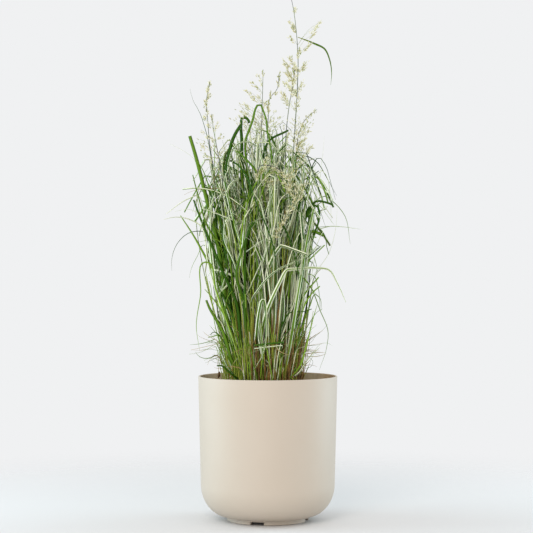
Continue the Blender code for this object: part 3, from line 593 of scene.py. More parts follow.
# more leaves that show: points in mm from where each comes out of the clump, width in mm
moreLeaves = [
    {"points": [(-118, -20, 659), (-116, -20, 719), (-114, -20, 796), (-113, -20, 845)],
     "width": 3.6, "facing": 0, "kind": "green"},
    {"points": [(-119, -60, 694), (-131, -60, 734), (-138, -60, 751), (-149, -60, 770)],
     "width": 4.6, "facing": 10, "kind": "green", "blunt": 0.3},
    {"points": [(-135, -70, 649), (-141, -70, 672), (-152, -70, 712), (-159, -70, 740)],
     "width": 5.0, "facing": 0, "kind": "fresh", "blunt": 0.4},
    {"points": [(-82, -60, 700), (-104, -60, 712), (-128, -60, 711), (-164, -60, 705),
                (-178, -60, 698)], "width": 3.2, "facing": 60, "kind": "dry"},
    {"points": [(-133, -50, 716), (-129, -50, 737), (-121, -50, 749), (-114, -50, 756),
                (-107, -50, 755), (-99, -50, 740)], "width": 3.4, "facing": 50, "kind": "deep"},
    {"points": [(-150, -40, 660), (-168, -40, 668), (-183, -40, 667), (-201, -40, 663)],
     "width": 2.6, "facing": 60, "kind": "cream"},
    {"points": [(-142, -20, 590), (-149, -20, 573), (-163, -20, 545), (-169, -20, 521)],
     "width": 2.2, "facing": 50, "kind": "green"},
    {"points": [(-96, -80, 410), (-109, -80, 434), (-123, -80, 458), (-130, -80, 475)],
     "width": 7.5, "facing": 0, "kind": "fresh", "blunt": 0.6},
    {"points": [(-97, -60, 379), (-104, -60, 394), (-106, -60, 400), (-116, -60, 398),
                (-127, -60, 396)], "width": 4.0, "facing": 60, "kind": "green", "blunt": 0.6},
    {"points": [(-93, -50, 385), (-102, -50, 398), (-109, -50, 405), (-117, -50, 406),
                (-122, -50, 401)], "width": 3.4, "facing": 60, "kind": "deep", "blunt": 0.4},
    {"points": [(-89, -70, 342), (-96, -70, 358), (-104, -70, 373), (-112, -70, 386),
                (-131, -70, 381)], "width": 3.6, "facing": 50, "kind": "margin"},
    {"points": [(-103, -40, 310), (-106, -40, 334), (-108, -40, 344), (-115, -40, 362)],
     "width": 1.4, "facing": 20, "kind": "dry"},
    {"points": [(-80, -70, 321), (-87, -70, 327), (-98, -70, 336), (-108, -70, 336)],
     "width": 4.2, "facing": 50, "kind": "deep", "blunt": 0.7},
    {"points": [(84, 20, 600), (107, 20, 630), (131, 20, 633), (156, 20, 633)],
     "width": 3.0, "facing": 60, "kind": "green"},
    {"points": [(67, -30, 758), (80, -30, 768), (96, -30, 776)],
     "width": 4.0, "facing": 40, "kind": "deep", "blunt": 0.3},
    {"points": [(88, -80, 670), (103, -80, 684), (121, -80, 682), (138, -80, 676)],
     "width": 6.0, "facing": 0, "kind": "deep", "blunt": 0.7},
    {"points": [(84, -90, 612), (96, -90, 620), (106, -90, 616), (117, -90, 611)],
     "width": 8.0, "facing": 0, "kind": "fresh", "blunt": 0.8},
    {"points": [(70, -80, 340), (77, -80, 362), (87, -80, 400), (96, -80, 437), (106, -80, 470)],
     "width": 4.2, "facing": 0, "kind": "green"},
    {"points": [(71, -50, 325), (83, -50, 345), (97, -50, 362), (112, -50, 374)],
     "width": 4.6, "facing": 20, "kind": "margin"},
    {"points": [(66, -40, 326), (75, -40, 329), (85, -40, 329), (93, -40, 333), (96, -40, 344),
                (87, -40, 352), (77, -40, 353)], "width": 1.6, "facing": 60, "kind": "deep"},
    {"points": [(30, -50, 372), (34, -96, 384), (30, -124, 387), (16, -131, 386),
                (-11, -130, 383), (-28, -130, 381)], "width": 5.4, "facing": 150, "kind": "deep",
     "blunt": 0.8},
    {"points": [(27, -50, 366), (31, -96, 377), (26, -128, 381), (14, -134, 380),
                (-11, -133, 377), (-28, -133, 375)], "width": 2.6, "facing": 150, "kind": "cream",
     "blunt": 0.8},
    {"points": [(-26, -60, 380), (-24, -96, 400), (-20, -128, 440), (-16, -136, 462),
                (-12, -138, 475), (-9, -139, 477), (-6, -139, 468), (-4, -140, 440),
                (-4, -140, 405), (-6, -139, 384), (-13, -136, 360), (-28, -132, 333)],
     "width": 8.0, "facing": 0, "kind": "edged", "fold": 0.2, "steps": 90},
    {"points": [(-34, -70, 470), (-20, -116, 497), (-6, -120, 516), (11, -120, 532), (32, -120, 545),
                (52, -118, 553), (67, -116, 560), (82, -112, 568), (98, -110, 581), (115, -108, 590)],
     "width": 5.4, "facing": 0, "kind": "margin", "fold": 0.1},
    {"points": [(-92, -110, 618), (-86, -120, 642), (-72, -120, 657), (-59, -120, 648),
                (-50, -120, 631)], "width": 5.0, "facing": 30, "kind": "cream"},
    {"points": [(-65, -110, 539), (-59, -110, 563), (-44, -110, 610), (-35, -110, 638),
                (-30, -112, 640), (-24, -114, 628)], "width": 9.0, "facing": 0, "kind": "edged"},
    {"points": [(-88, -60, 698), (-87, -60, 760), (-82, -60, 784), (-78, -58, 805),
                (-72, -54, 822), (-63, -48, 839), (-57, -44, 848)],
     "width": 9.6, "facing": 0, "kind": "deep", "blunt": 0.7},
    {"points": [(-84, -66, 760), (-79, -66, 782), (-74, -66, 795), (-63, -66, 806),
                (-50, -66, 811), (-38, -66, 810), (-25, -66, 802), (-12, -66, 793),
                (2, -66, 779), (15, -66, 769), (28, -66, 757)],
     "width": 5.4, "facing": 0, "kind": "margin", "blunt": 0.3},
    {"points": [(89, -100, 623), (80, -100, 642), (67, -100, 659), (51, -100, 681),
                (31, -100, 705), (17, -100, 723), (1, -100, 742)],
     "width": 6.4, "facing": 30, "kind": "margin"},
    {"points": [(-8, -40, 790), (4, -50, 816), (18, -50, 824), (34, -50, 831), (44, -50, 836)],
     "width": 7.0, "facing": 0, "kind": "deep", "blunt": 0.6},
    {"points": [(31, -50, 800), (30, -60, 832), (26, -66, 840), (26, -66, 851), (29, -66, 853),
                (38, -66, 846), (52, -66, 833)], "width": 3.6, "facing": 0, "kind": "deep"},
    {"points": [(60, -60, 740), (66, -66, 760), (70, -70, 765), (86, -74, 771), (101, -78, 776)],
     "width": 5.0, "facing": 0, "kind": "margin"},
    {"points": [(9, -40, 800), (9, -46, 824), (11, -50, 838), (16, -50, 842), (19, -50, 836)],
     "width": 4.0, "facing": 0, "kind": "deep"},
    {"points": [(-95, -50, 745), (-94, -50, 775), (-90, -50, 786), (-83, -50, 793)],
     "width": 4.0, "facing": 20, "kind": "green"},
    {"points": [(-150, 30, 760), (-166, 30, 786), (-176, 30, 793), (-195, 30, 804),
                (-214, 30, 813)], "width": 2.4, "facing": 60, "kind": "margin"},
    {"points": [(-96, -60, 606), (-103, -60, 619), (-111, -60, 628), (-121, -60, 636),
                (-132, -60, 646)], "width": 4.0, "facing": 20, "kind": "green"},
    {"points": [(-98, -70, 596), (-110, -70, 604), (-131, -70, 601), (-147, -70, 598)],
     "width": 3.6, "facing": 60, "kind": "green"},
    {"points": [(-79, -80, 564), (-89, -80, 579), (-104, -80, 590), (-117, -80, 600)],
     "width": 4.4, "facing": 20, "kind": "deep"},
    {"points": [(-96, -80, 450), (-110, -80, 471), (-122, -80, 486), (-133, -80, 498)],
     "width": 4.0, "facing": 20, "kind": "green", "blunt": 0.4},
    {"points": [(57, 20, 729), (63, 20, 755), (74, 20, 764), (84, 20, 766), (89, 20, 758),
                (94, 20, 747), (100, 20, 727), (105, 20, 710)],
     "width": 6.4, "facing": 40, "kind": "deep"},
    {"points": [(54, -20, 727), (58, -20, 749), (66, -20, 770), (69, -20, 788)],
     "width": 5.6, "facing": 10, "kind": "deep"},
    {"points": [(51, -50, 734), (64, -50, 756), (75, -50, 765), (87, -50, 773), (96, -50, 774)],
     "width": 3.6, "facing": 50, "kind": "dry"},
    {"points": [(69, -40, 724), (82, -40, 733), (94, -40, 739), (109, -40, 750)],
     "width": 3.4, "facing": 50, "kind": "deep", "blunt": 0.6},
    {"points": [(62, -50, 700), (73, -50, 712), (81, -50, 715), (87, -50, 712), (92, -50, 694),
                (96, -50, 678)], "width": 6.0, "facing": 40, "kind": "deep"},
    {"points": [(60, -70, 733), (66, -70, 748), (69, -70, 743), (71, -70, 723), (68, -70, 704)],
     "width": 5.0, "facing": 20, "kind": "deep", "blunt": 0.4},
    {"points": [(96, 30, 739), (117, 30, 724), (140, 30, 695)],
     "width": 3.0, "facing": 50, "kind": "green"},
    {"points": [(110, 40, 713), (118, 40, 776), (122, 40, 808), (123, 40, 830)],
     "width": 1.6, "facing": 20, "kind": "cream"},
    {"points": [(137, 60, 582), (150, 60, 636), (152, 60, 668), (154, 60, 688)],
     "width": 1.5, "facing": 20, "kind": "cream"},
    {"points": [(101, 30, 684), (117, 30, 675), (128, 30, 659), (144, 30, 637)],
     "width": 2.6, "facing": 50, "kind": "green"},
    {"points": [(92, -86, 668), (101, -90, 676), (106, -92, 668), (108, -92, 656), (104, -92, 633),
                (95, -90, 612)], "width": 8.4, "facing": 0, "kind": "deep", "blunt": 0.5},
    {"points": [(76, -96, 690), (82, -98, 664), (87, -98, 630), (90, -98, 606)],
     "width": 6.4, "facing": 0, "kind": "deep", "blunt": 0.5},
    {"points": [(81, -60, 649), (98, -60, 658), (114, -60, 665), (125, -60, 668)],
     "width": 4.0, "facing": 50, "kind": "deep", "blunt": 0.6},
    {"points": [(106, -20, 676), (115, -20, 658), (120, -20, 642), (125, -20, 629)],
     "width": 3.4, "facing": 30, "kind": "deep"},
    {"points": [(79, -60, 623), (93, -60, 604), (102, -60, 593), (110, -60, 587)],
     "width": 4.4, "facing": 40, "kind": "deep", "blunt": 0.7},
    {"points": [(64, -70, 547), (81, -70, 562), (94, -70, 573), (113, -70, 589)],
     "width": 4.4, "facing": 30, "kind": "deep", "blunt": 0.5},
    {"points": [(86, -30, 556), (103, -30, 574), (122, -30, 592)],
     "width": 4.0, "facing": 30, "kind": "green", "blunt": 0.6},
    {"points": [(115, 0, 625), (125, 0, 608), (127, 0, 589), (132, 0, 572)],
     "width": 3.2, "facing": 20, "kind": "green", "blunt": 0.4},
    {"points": [(75, -50, 596), (86, -50, 594), (93, -50, 587), (98, -50, 568), (104, -50, 544),
                (103, -50, 529), (96, -50, 517)], "width": 3.4, "facing": 30, "kind": "green"},
    {"points": [(59, -90, 539), (73, -90, 523), (84, -90, 510), (99, -90, 491), (106, -90, 482)],
     "width": 5.2, "facing": 30, "kind": "fresh"},
    {"points": [(82, -30, 491), (95, -30, 507), (109, -30, 523)],
     "width": 4.2, "facing": 20, "kind": "green", "blunt": 0.7},
    {"points": [(88, -50, 481), (99, -50, 494), (111, -50, 504)],
     "width": 4.2, "facing": 20, "kind": "green", "blunt": 0.6},
    {"points": [(34, -80, 429), (47, -86, 448), (55, -88, 450), (74, -88, 450), (93, -84, 456)],
     "width": 4.4, "facing": 50, "kind": "deep", "blunt": 0.6},
    {"points": [(38, -80, 403), (55, -84, 420), (67, -84, 424), (81, -82, 425)],
     "width": 4.0, "facing": 50, "kind": "deep", "blunt": 0.6},
    {"points": [(78, -40, 430), (90, -40, 462), (102, -40, 486), (110, -40, 480), (114, -40, 452)],
     "width": 4.0, "facing": 20, "kind": "fresh"},
    {"points": [(84, -20, 530), (98, -20, 526), (108, -20, 500), (112, -20, 458)],
     "width": 3.6, "facing": 40, "kind": "green"},
    {"points": [(74, -60, 400), (90, -60, 428), (106, -60, 450), (116, -60, 456)],
     "width": 3.4, "facing": 40, "kind": "edged"},
    {"points": [(92, -30, 700), (104, -30, 740), (116, -28, 752), (128, -20, 736),
                (134, -20, 700), (136, -20, 640)], "width": 3.0, "facing": 40, "kind": "margin"},
    {"points": [(88, 10, 720), (100, 6, 770), (110, 0, 782), (122, 0, 768), (135, 0, 730),
                (146, 0, 690)], "width": 4.0, "facing": 50, "kind": "deep"},
]


def rootedPoints(points):
    # carries a leaf down through the clump to a foot on the crown
    first = np.array(points[0], dtype=float)
    centre = np.array([*clump["centre"], 0.0])
    arm = (first - centre) * (0.5, 0.5, 0)
    arm *= min(1.0, 60 / max(np.linalg.norm(arm), 1e-6))
    foot = centre + arm + (0, 0, 292)
    lower = [tuple(foot)]
    if first[2] > 400:
        lower.append(tuple(foot + (first - foot) * (0.5, 0.5, 1.0) - (0, 0, 70)))
    return lower + list(points)


def makeMoreLeaves():
    for index, plan in enumerate(moreLeaves):
        rng = random.Random(600 + index)
        draft = startDraft()
        path = smoothPath(np.array(rootedPoints(plan["points"])) * mm, plan.get("steps", 46))
        addBlade(draft, path, plan["width"] * mm, math.radians(plan["facing"]) * 0.6,
                 kindLook(rng, plan["kind"]), twist=rng.uniform(-0.3, 0.3),
                 fold=plan.get("fold", 0.5), blunt=plan.get("blunt", 0.12))
        leaf = finishDraft(draft, f"sideLeaf{index + 1:02d}", [bladeMat])
        standFor(leaf, "long_leaf")


# leafy shoots: culms with blades growing from them and from the crown; lengths in mm

clump = {
    "centre": (-10, 0),
    "edgeRadius": 75,
    "edgeLean": 0.17,
    "leanScatter": 0.075,
    "footSpread": 14,
    "culms": 7,
    "bladesPerCulm": 2,
    "crownBlades": 9,
    "tallBlades": 12,
    "skirtBlades": 5,
    "width": (2.6, 6.2),
    "regrown": (7, 23),
}

# height, middle and radius of the clump's outline, which most of its blades stay inside
outlineTable = np.array([
    (0.290, -0.012, 0.080), (0.323, -0.018, 0.082), (0.366, -0.022, 0.085), (0.409, -0.022, 0.095),
    (0.452, -0.016, 0.110), (0.538, -0.014, 0.121), (0.582, -0.016, 0.129), (0.625, -0.018, 0.142),
    (0.668, -0.017, 0.153), (0.711, -0.021, 0.146), (0.754, -0.022, 0.130), (0.797, -0.018, 0.102),
    (0.825, -0.010, 0.078), (0.850, -0.008, 0.045), (0.880, -0.008, 0.012)])


def outlineExcess(path):
    # the furthest that a path goes past the outline, as a share of the radius there
    middle = np.interp(path[:, 2], outlineTable[:, 0], outlineTable[:, 1])
    radius = np.interp(path[:, 2], outlineTable[:, 0], outlineTable[:, 2])
    return float((np.hypot(path[:, 0] - middle, path[:, 1]) / radius).max() - 1)


def shootFoot(node):
    # the middle of the solid's foot on the crown
    points = np.array([v.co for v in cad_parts[node].data.vertices])
    return points[points[:, 2] < points[:, 2].min() + 0.0005].mean(axis=0)


def outwardLean(rng, start):
    # leaning away from the middle of the crown, more so near its edge
    arm = (start[:2] - np.array(clump["centre"]) * mm) / (clump["edgeRadius"] * mm)
    tilt = arm * clump["edgeLean"] + np.array([rng.gauss(0, 1), rng.gauss(0, 1)]) * clump["leanScatter"]
    return math.hypot(*tilt), math.atan2(tilt[1], tilt[0])


def bladeRoute(rng, start, lean, azimuth, style, length):
    # upright, arched over, kinked once, or folded down on itself
    turned = azimuth + rng.gauss(0, 0.9)
    bend = rng.uniform(0.45, 0.85)
    if style == "upright":
        leans = [(0.0, lean, azimuth), (0.5, lean * rng.uniform(0.4, 1.3), azimuth),
                 (0.85, rng.uniform(0.0, 0.35), turned), (1.0, rng.uniform(0.1, 1.0), turned)]
    elif style == "arched":
        leans = [(0.0, lean, azimuth), (0.4, lean + 0.05, azimuth),
                 (0.75, rng.uniform(0.4, 1.1), turned), (1.0, rng.uniform(1.1, 2.5), turned)]
    elif style == "kinked":
        after = rng.uniform(0.7, 1.9)
        leans = [(0.0, lean, azimuth), (bend - 0.01, lean + rng.uniform(-0.05, 0.15), azimuth),
                 (bend + 0.01, after, turned), (1.0, after + rng.uniform(-0.1, 0.4), turned)]
    else:
        leans = [(0.0, lean, azimuth), (bend - 0.03, lean + rng.uniform(0.0, 0.2), azimuth),
                 (bend + 0.02, rng.uniform(2.1, 2.9), turned), (1.0, rng.uniform(2.4, 3.0), turned)]
    return leanPath(start, leans, length)


def growBlade(draft, rng, start, lean, azimuth, lengths, styles, kind, blunts):
    # several tries, and the one that stays best inside the outline is kept
    allowed = rng.choice([0.0, 0.0, 0.0, 0.0, 0.06, 0.15])
    best = None
    for _ in range(9):
        style = rng.choices(["upright", "arched", "kinked", "folded"], styles)[0]
        path = bladeRoute(rng, start, lean + rng.gauss(0, 0.03), azimuth + rng.gauss(0, 0.3), style,
                          rng.uniform(*lengths) * mm)
        excess = max(outlineExcess(path), allowed)
        if best is None or excess < best[0]:
            best = (excess, path)
        if excess <= allowed:
            break
    if best[0] > allowed + 0.12:
        return
    addBlade(draft, best[1], pickWidth(rng, kind) * mm, azimuth + math.pi / 2 + rng.gauss(0, 0.7),
             kindLook(rng, kind), twist=rng.gauss(0, 0.7), fold=rng.uniform(0.2, 0.8),
             blunt=rng.choice(blunts), foot=rng.uniform(0.3, 0.6))


def pickKind(rng, start):
    # the left is greener; the middle and right are paler, with more dry blades
    side = float(np.clip(-start[0] / 0.06, -1, 1))
    weights = [3.6 - 1.6 * side, 4.2, 1.0 + 0.6 * side, 0.4 + 0.4 * side, 2.0 + 0.5 * side,
               0.2 - 0.1 * side]
    return rng.choices(["cream", "margin", "green", "fresh", "deep", "dry"], weights)[0]


def pickWidth(rng, kind):
    # blades with a green middle are broader than the all-cream ones
    return rng.uniform(*clump["width"]) * {"margin": 1.7, "cream": 0.95}.get(kind, 1.0)


def makeShoot(index):
    node = f"shoot_{index + 1:02d}"
    # a second draw for shoots whose first one crossed the front of the clump
    rng = random.Random(40 + index + (100 if index in clump["regrown"] else 0))
    draft = startDraft()
    foot = shootFoot(node)

    def scatteredFoot():
        turn, out = rng.uniform(0, 2 * math.pi), clump["footSpread"] * mm * math.sqrt(rng.random())
        return foot + np.array([math.cos(turn) * out, math.sin(turn) * out, 0])

    for _ in range(clump["crownBlades"]):
        start = scatteredFoot()
        lean, azimuth = outwardLean(rng, start)
        growBlade(draft, rng, start, lean, azimuth, (260, 590), [0.5, 0.15, 0.15, 0.2],
                  pickKind(rng, start), [0.08, 0.3, 0.7, 0.8])
    for _ in range(clump["tallBlades"]):
        start = scatteredFoot()
        lean, azimuth = outwardLean(rng, start)
        growBlade(draft, rng, start, lean * 0.6, azimuth, (530, 690), [0.3, 0.35, 0.1, 0.25],
                  pickKind(rng, start), [0.08, 0.3, 0.7, 0.8])
    outer = np.hypot(*(foot[:2] - np.array(clump["centre"]) * mm)) > 0.6 * clump["edgeRadius"] * mm
    for _ in range(clump["skirtBlades"] if outer else 0):
        # short blades that flare out round the foot of the clump
        start = scatteredFoot()
        lean, azimuth = outwardLean(rng, start)
        growBlade(draft, rng, start, lean + rng.uniform(0.1, 0.4), azimuth, (90, 300),
                  [0.45, 0.2, 0.35, 0.0], pickKind(rng, start), [0.1, 0.4, 0.7])
    for _ in range(clump["culms"]):
        start = scatteredFoot()
        lean, azimuth = outwardLean(rng, start)
        tall = rng.uniform(130, 430)
        culm = leanPath(start, [(0, lean, azimuth), (1, lean * 0.7, azimuth)], tall * mm, 16)
        if outlineExcess(culm) > 0.05:
            continue
        # browner on the right and in the middle of the front
        old = rng.uniform(0.0, 0.4) + (rng.choice([0.2, 0.7, 1.1]) if start[0] > -0.03 else 0.0)
        radii = np.linspace(rng.uniform(0.9, 1.7), 0.7, 16) * mm
        addTube(draft, culm, radii, (rng.random(), 0.0, old, 0.0))
        for leafIndex in range(clump["bladesPerCulm"]):
            step = min(15, int(16 * (0.35 + 0.65 * (leafIndex + rng.random()) / clump["bladesPerCulm"])))
            out = azimuth + rng.uniform(-2.2, 2.2)
            growBlade(draft, rng, culm[step], lean + rng.uniform(0.05, 0.3), out, (150, 360),
                      [0.35, 0.25, 0.2, 0.2], pickKind(rng, start), [0.08, 0.08, 0.3])
    shoot = finishDraft(draft, f"shoot{index + 1:02d}", [bladeMat, culmMat])
    standFor(shoot, "shoot", node)


makeMoreLeaves()
for shootIndex in range(24):
    makeShoot(shootIndex)
print("shoots ready")


# flowering stems: route in mm from foot to tip; tufts are (x, z, reach of its husks, husks)

flowerStems = {
    "flower_stem_1": {
        "points": [(34, 6, 292), (40, 16, 520), (54, 24, 765), (58, 28, 828), (65, 30, 950),
                   (66, 30, 990), (63, 30, 1047), (56, 30, 1105), (46, 30, 1152)],
        "tufts": [(47, 1146, 6, 8), (60, 1108, 7, 14), (48, 1078, 10, 18), (112, 1076, 9, 12),
                  (105, 1061, 9, 14), (99, 1050, 6, 8), (53, 1066, 8, 16), (48, 1044, 8, 14),
                  (90, 1028, 10, 18), (69, 1018, 10, 28), (82, 985, 12, 30), (58, 984, 8, 14),
                  (74, 943, 13, 26), (50, 934, 11, 26), (60, 926, 12, 26), (37, 911, 12, 26),
                  (64, 908, 12, 24), (48, 960, 9, 18)]},
    "flower_stem_2": {
        "points": [(20, -18, 292), (28, -20, 520), (37, -20, 769), (40, -20, 841), (46, -20, 892),
                   (56, -20, 951), (56, -20, 979), (46, -20, 997)],
        "tufts": [(48, 992, 8, 20), (36, 982, 9, 24), (58, 975, 10, 30), (42, 962, 11, 34),
                  (60, 952, 10, 28), (38, 942, 10, 24), (52, 930, 10, 22), (30, 920, 9, 16)]},
    "flower_stem_3": {
        "points": [(-6, 22, 292), (-4, 36, 520), (-2, 44, 800), (1, 50, 869), (7, 50, 918),
                   (18, 50, 930), (25, 50, 966)],
        "haze": (9, (-24, 36), (780, 900)),
        "tufts": [(25, 968, 7, 11), (24, 952, 7, 12), (18, 926, 8, 14), (7, 923, 7, 10),
                  (3, 903, 8, 12), (2, 889, 6, 8), (16, 878, 20, 12), (30, 868, 20, 14),
                  (14, 856, 20, 12), (-14, 868, 20, 12), (4, 800, 22, 18), (18, 812, 22, 18),
                  (34, 796, 22, 18)]},
    "flower_stem_4": {
        "points": [(-16, -8, 292), (-20, -10, 520), (-18, -6, 785), (-15, -4, 813),
                   (-13, -2, 862), (-10, 0, 971)],
        "haze": (16, (-76, -8), (790, 890)),
        "tufts": [(-12, 964, 6, 6), (-20, 955, 7, 6), (-16, 946, 7, 5), (-34, 940, 8, 6),
                  (-24, 932, 8, 7), (-45, 924, 8, 12), (-34, 914, 9, 14), (-20, 912, 8, 10),
                  (-50, 898, 9, 14), (-56, 882, 8, 12), (-4, 900, 8, 14), (-40, 872, 20, 14),
                  (-62, 866, 18, 10), (-28, 856, 20, 14), (-50, 848, 20, 10), (-26, 820, 20, 14)]},
    "flower_stem_5": {
        "points": [(-50, 20, 292), (-80, 44, 520), (-118, 40, 760), (-125, 36, 800),
                   (-132, 34, 877), (-134, 32, 900), (-126, 30, 947)],
        "tufts": [(-126, 948, 6, 14), (-130, 934, 6, 14), (-128, 918, 7, 16), (-136, 904, 7, 16),
                  (-132, 888, 7, 14), (-140, 874, 6, 10)]},
    "flower_stem_6": {
        "points": [(-48, -16, 292), (-66, -44, 520), (-99, -60, 744), (-108, -60, 798),
                   (-116, -60, 841), (-119, -60, 870)],
        "haze": (5, (-155, -84), (750, 850)),
        "tufts": [(-120, 866, 8, 8), (-130, 852, 9, 8), (-108, 846, 9, 9), (-138, 830, 9, 8),
                  (-96, 826, 10, 9), (-124, 822, 10, 10), (-143, 806, 9, 7), (-112, 800, 10, 8),
                  (-92, 796, 9, 8), (-130, 782, 9, 7)]},
    "flower_stem_7": {
        "points": [(36, 22, 292), (50, 2, 520), (62, -24, 780), (67, -28, 832), (80, -30, 860),
                   (105, -30, 882)],
        "haze": (16, (34, 92), (760, 872)),
        "tufts": [(100, 880, 6, 7), (92, 872, 7, 7), (84, 864, 8, 8), (76, 854, 8, 9),
                  (88, 838, 8, 9), (80, 820, 9, 16), (70, 812, 9, 18), (94, 804, 9, 18),
                  (62, 798, 9, 16), (84, 790, 9, 18), (66, 862, 18, 12), (54, 846, 20, 14),
                  (48, 824, 20, 14), (60, 810, 20, 14), (72, 838, 18, 12), (44, 798, 20, 16)]},
    "flower_stem_8": {
        "points": [(4, -36, 292), (-12, -70, 480), (-20, -100, 700), (-14, -120, 757),
                   (16, -130, 752), (48, -134, 724), (64, -134, 700), (55, -136, 676),
                   (38, -138, 652), (20, -138, 612)],
        "haze": (14, (-26, 78), (690, 770)),
        "tufts": [(-20, 744, 11, 28), (-8, 752, 11, 30), (2, 738, 11, 30), (12, 750, 11, 30),
                  (-4, 768, 11, 20), (8, 724, 11, 20),
                  (16, 726, 11, 24), (28, 740, 12, 28), (34, 720, 11, 26), (46, 732, 12, 28),
                  (44, 704, 11, 26), (60, 716, 11, 26), (70, 698, 11, 24), (56, 690, 10, 22),
                  (76, 716, 10, 16), (50, 670, 9, 20), (42, 660, 9, 22), (34, 646, 9, 20),
                  (26, 634, 9, 20), (20, 620, 8, 16), (14, 608, 8, 12)]},
}

husk = {"length": 6.2 * mm, "width": 2.2 * mm, "share": 1.7}


def addHusk(draft, centre, way, length, width, look):
    # one spikelet: a slim husk, fat in the middle and closed at both ends
    path = np.array([centre - way * length / 2, centre - way * length * 0.1, centre + way * length / 2])
    addTube(draft, path, [width * 0.16, width / 2, width * 0.08], look, slot=1, corners=3, ownStrip=False)


def addTuft(draft, rng, route, tuft, tint):
    # a hair-thin branch from the stem to the tuft, with husks round its outer part
    x, z, reach, husks = tuft
    nearest = np.argmin(np.abs(route[:, 2] - (z * mm - abs(x * mm - route[:, 0]) * 0.8 - 0.006))
                        + np.abs(route[:, 0] - x * mm) * 0.6)
    start = route[nearest]
    depth = rng.uniform(-1, 1) * (8 + abs(x - start[0] / mm) * 0.6)
    tip = np.array([x * mm, start[1] + depth * mm, z * mm])
    way = unit(tip - start + np.array([0, 0, 0.004]))
    tip = tip + way * reach * 0.5 * mm
    middle = (start + tip) / 2 + np.array([0, 0, 0.12]) * np.linalg.norm(tip - start)
    path = smoothPath([start, middle, tip], 8)
    addTube(draft, path, np.linspace(0.30, 0.16, 8) * mm, (0.3, 0, 0, 0), slot=1, corners=3, ownStrip=False)
    for _ in range(int(husks * husk["share"])):
        back = rng.uniform(0, 2.2) * reach * mm
        side = np.array([rng.gauss(0, 1), rng.gauss(0, 1), rng.gauss(0, 0.8)])
        spot = tip - way * back + side * reach * mm * 0.28
        turned = unit(way * 1.3 + unit(side) * 0.8)
        addHusk(draft, spot, turned, husk["length"] * rng.uniform(0.7, 1.2),
                husk["width"] * rng.uniform(0.7, 1.2), (np.clip(rng.gauss(tint, 0.36), 0, 1), 0, 0, 0))


def makeFlowerStem(index, node, plan):
    rng = random.Random(900 + index)
    draft = startDraft()
    route = smoothPath(np.array(plan["points"]) * mm, 90)
    radii = np.interp(np.linspace(0, 1, 90), [0, 0.6, 1], [1.6 * mm, 1.3 * mm, 0.55 * mm])
    addTube(draft, route, radii, (0.5, 0, 0, 0), slot=0, corners=6, ownStrip=False)
    for tuft in plan["tufts"]:
        addTuft(draft, rng, route, tuft, 0.55 if index == 2 else 0.66 if index == 7 else 0.75)
    count, wide, high = plan.get("haze", (0, (0, 0), (0, 0)))
    for _ in range(count):
        addTuft(draft, rng, route, (rng.uniform(*wide), rng.uniform(*high), 17, 8), 0.6)
    stem = finishDraft(draft, f"flowerStem{index + 1}", [flowerStemMat, huskMat], bakeStrips=False)
    standFor(stem, "flower_stem", node)


for stemIndex, (stemNode, stemPlan) in enumerate(flowerStems.items()):
    makeFlowerStem(stemIndex, stemNode, stemPlan)

# the tallest stem's own leaf, which droops to the right
flagLeaf = {"points": [(65, 30, 1045), (76, 30, 1041), (101, 30, 1031), (124, 30, 1019),
                       (134, 30, 998), (139, 30, 966), (137, 30, 941)], "width": 5.2}


def makeFlagLeaf():
    draft = startDraft()
    path = smoothPath(np.array(flagLeaf["points"]) * mm, 40)
    addBlade(draft, path, flagLeaf["width"] * mm, math.radians(10), (0.3, 0.0, 0.0, 0.2), twist=0.8,
             blunt=0.08, foot=0.3, taper=1.5)
    leaf = finishDraft(draft, "flagLeaf", [bladeMat])
    standFor(leaf, "flower_stem")


makeFlagLeaf()
print("flowering stems ready")


# crown: the brown bases of old shoots and short old blades, standing in crumbs of soil

crownPlan = {"stubs": 680, "radius": 79, "height": (12, 110), "tall": (40, 170), "oldBlades": 300}


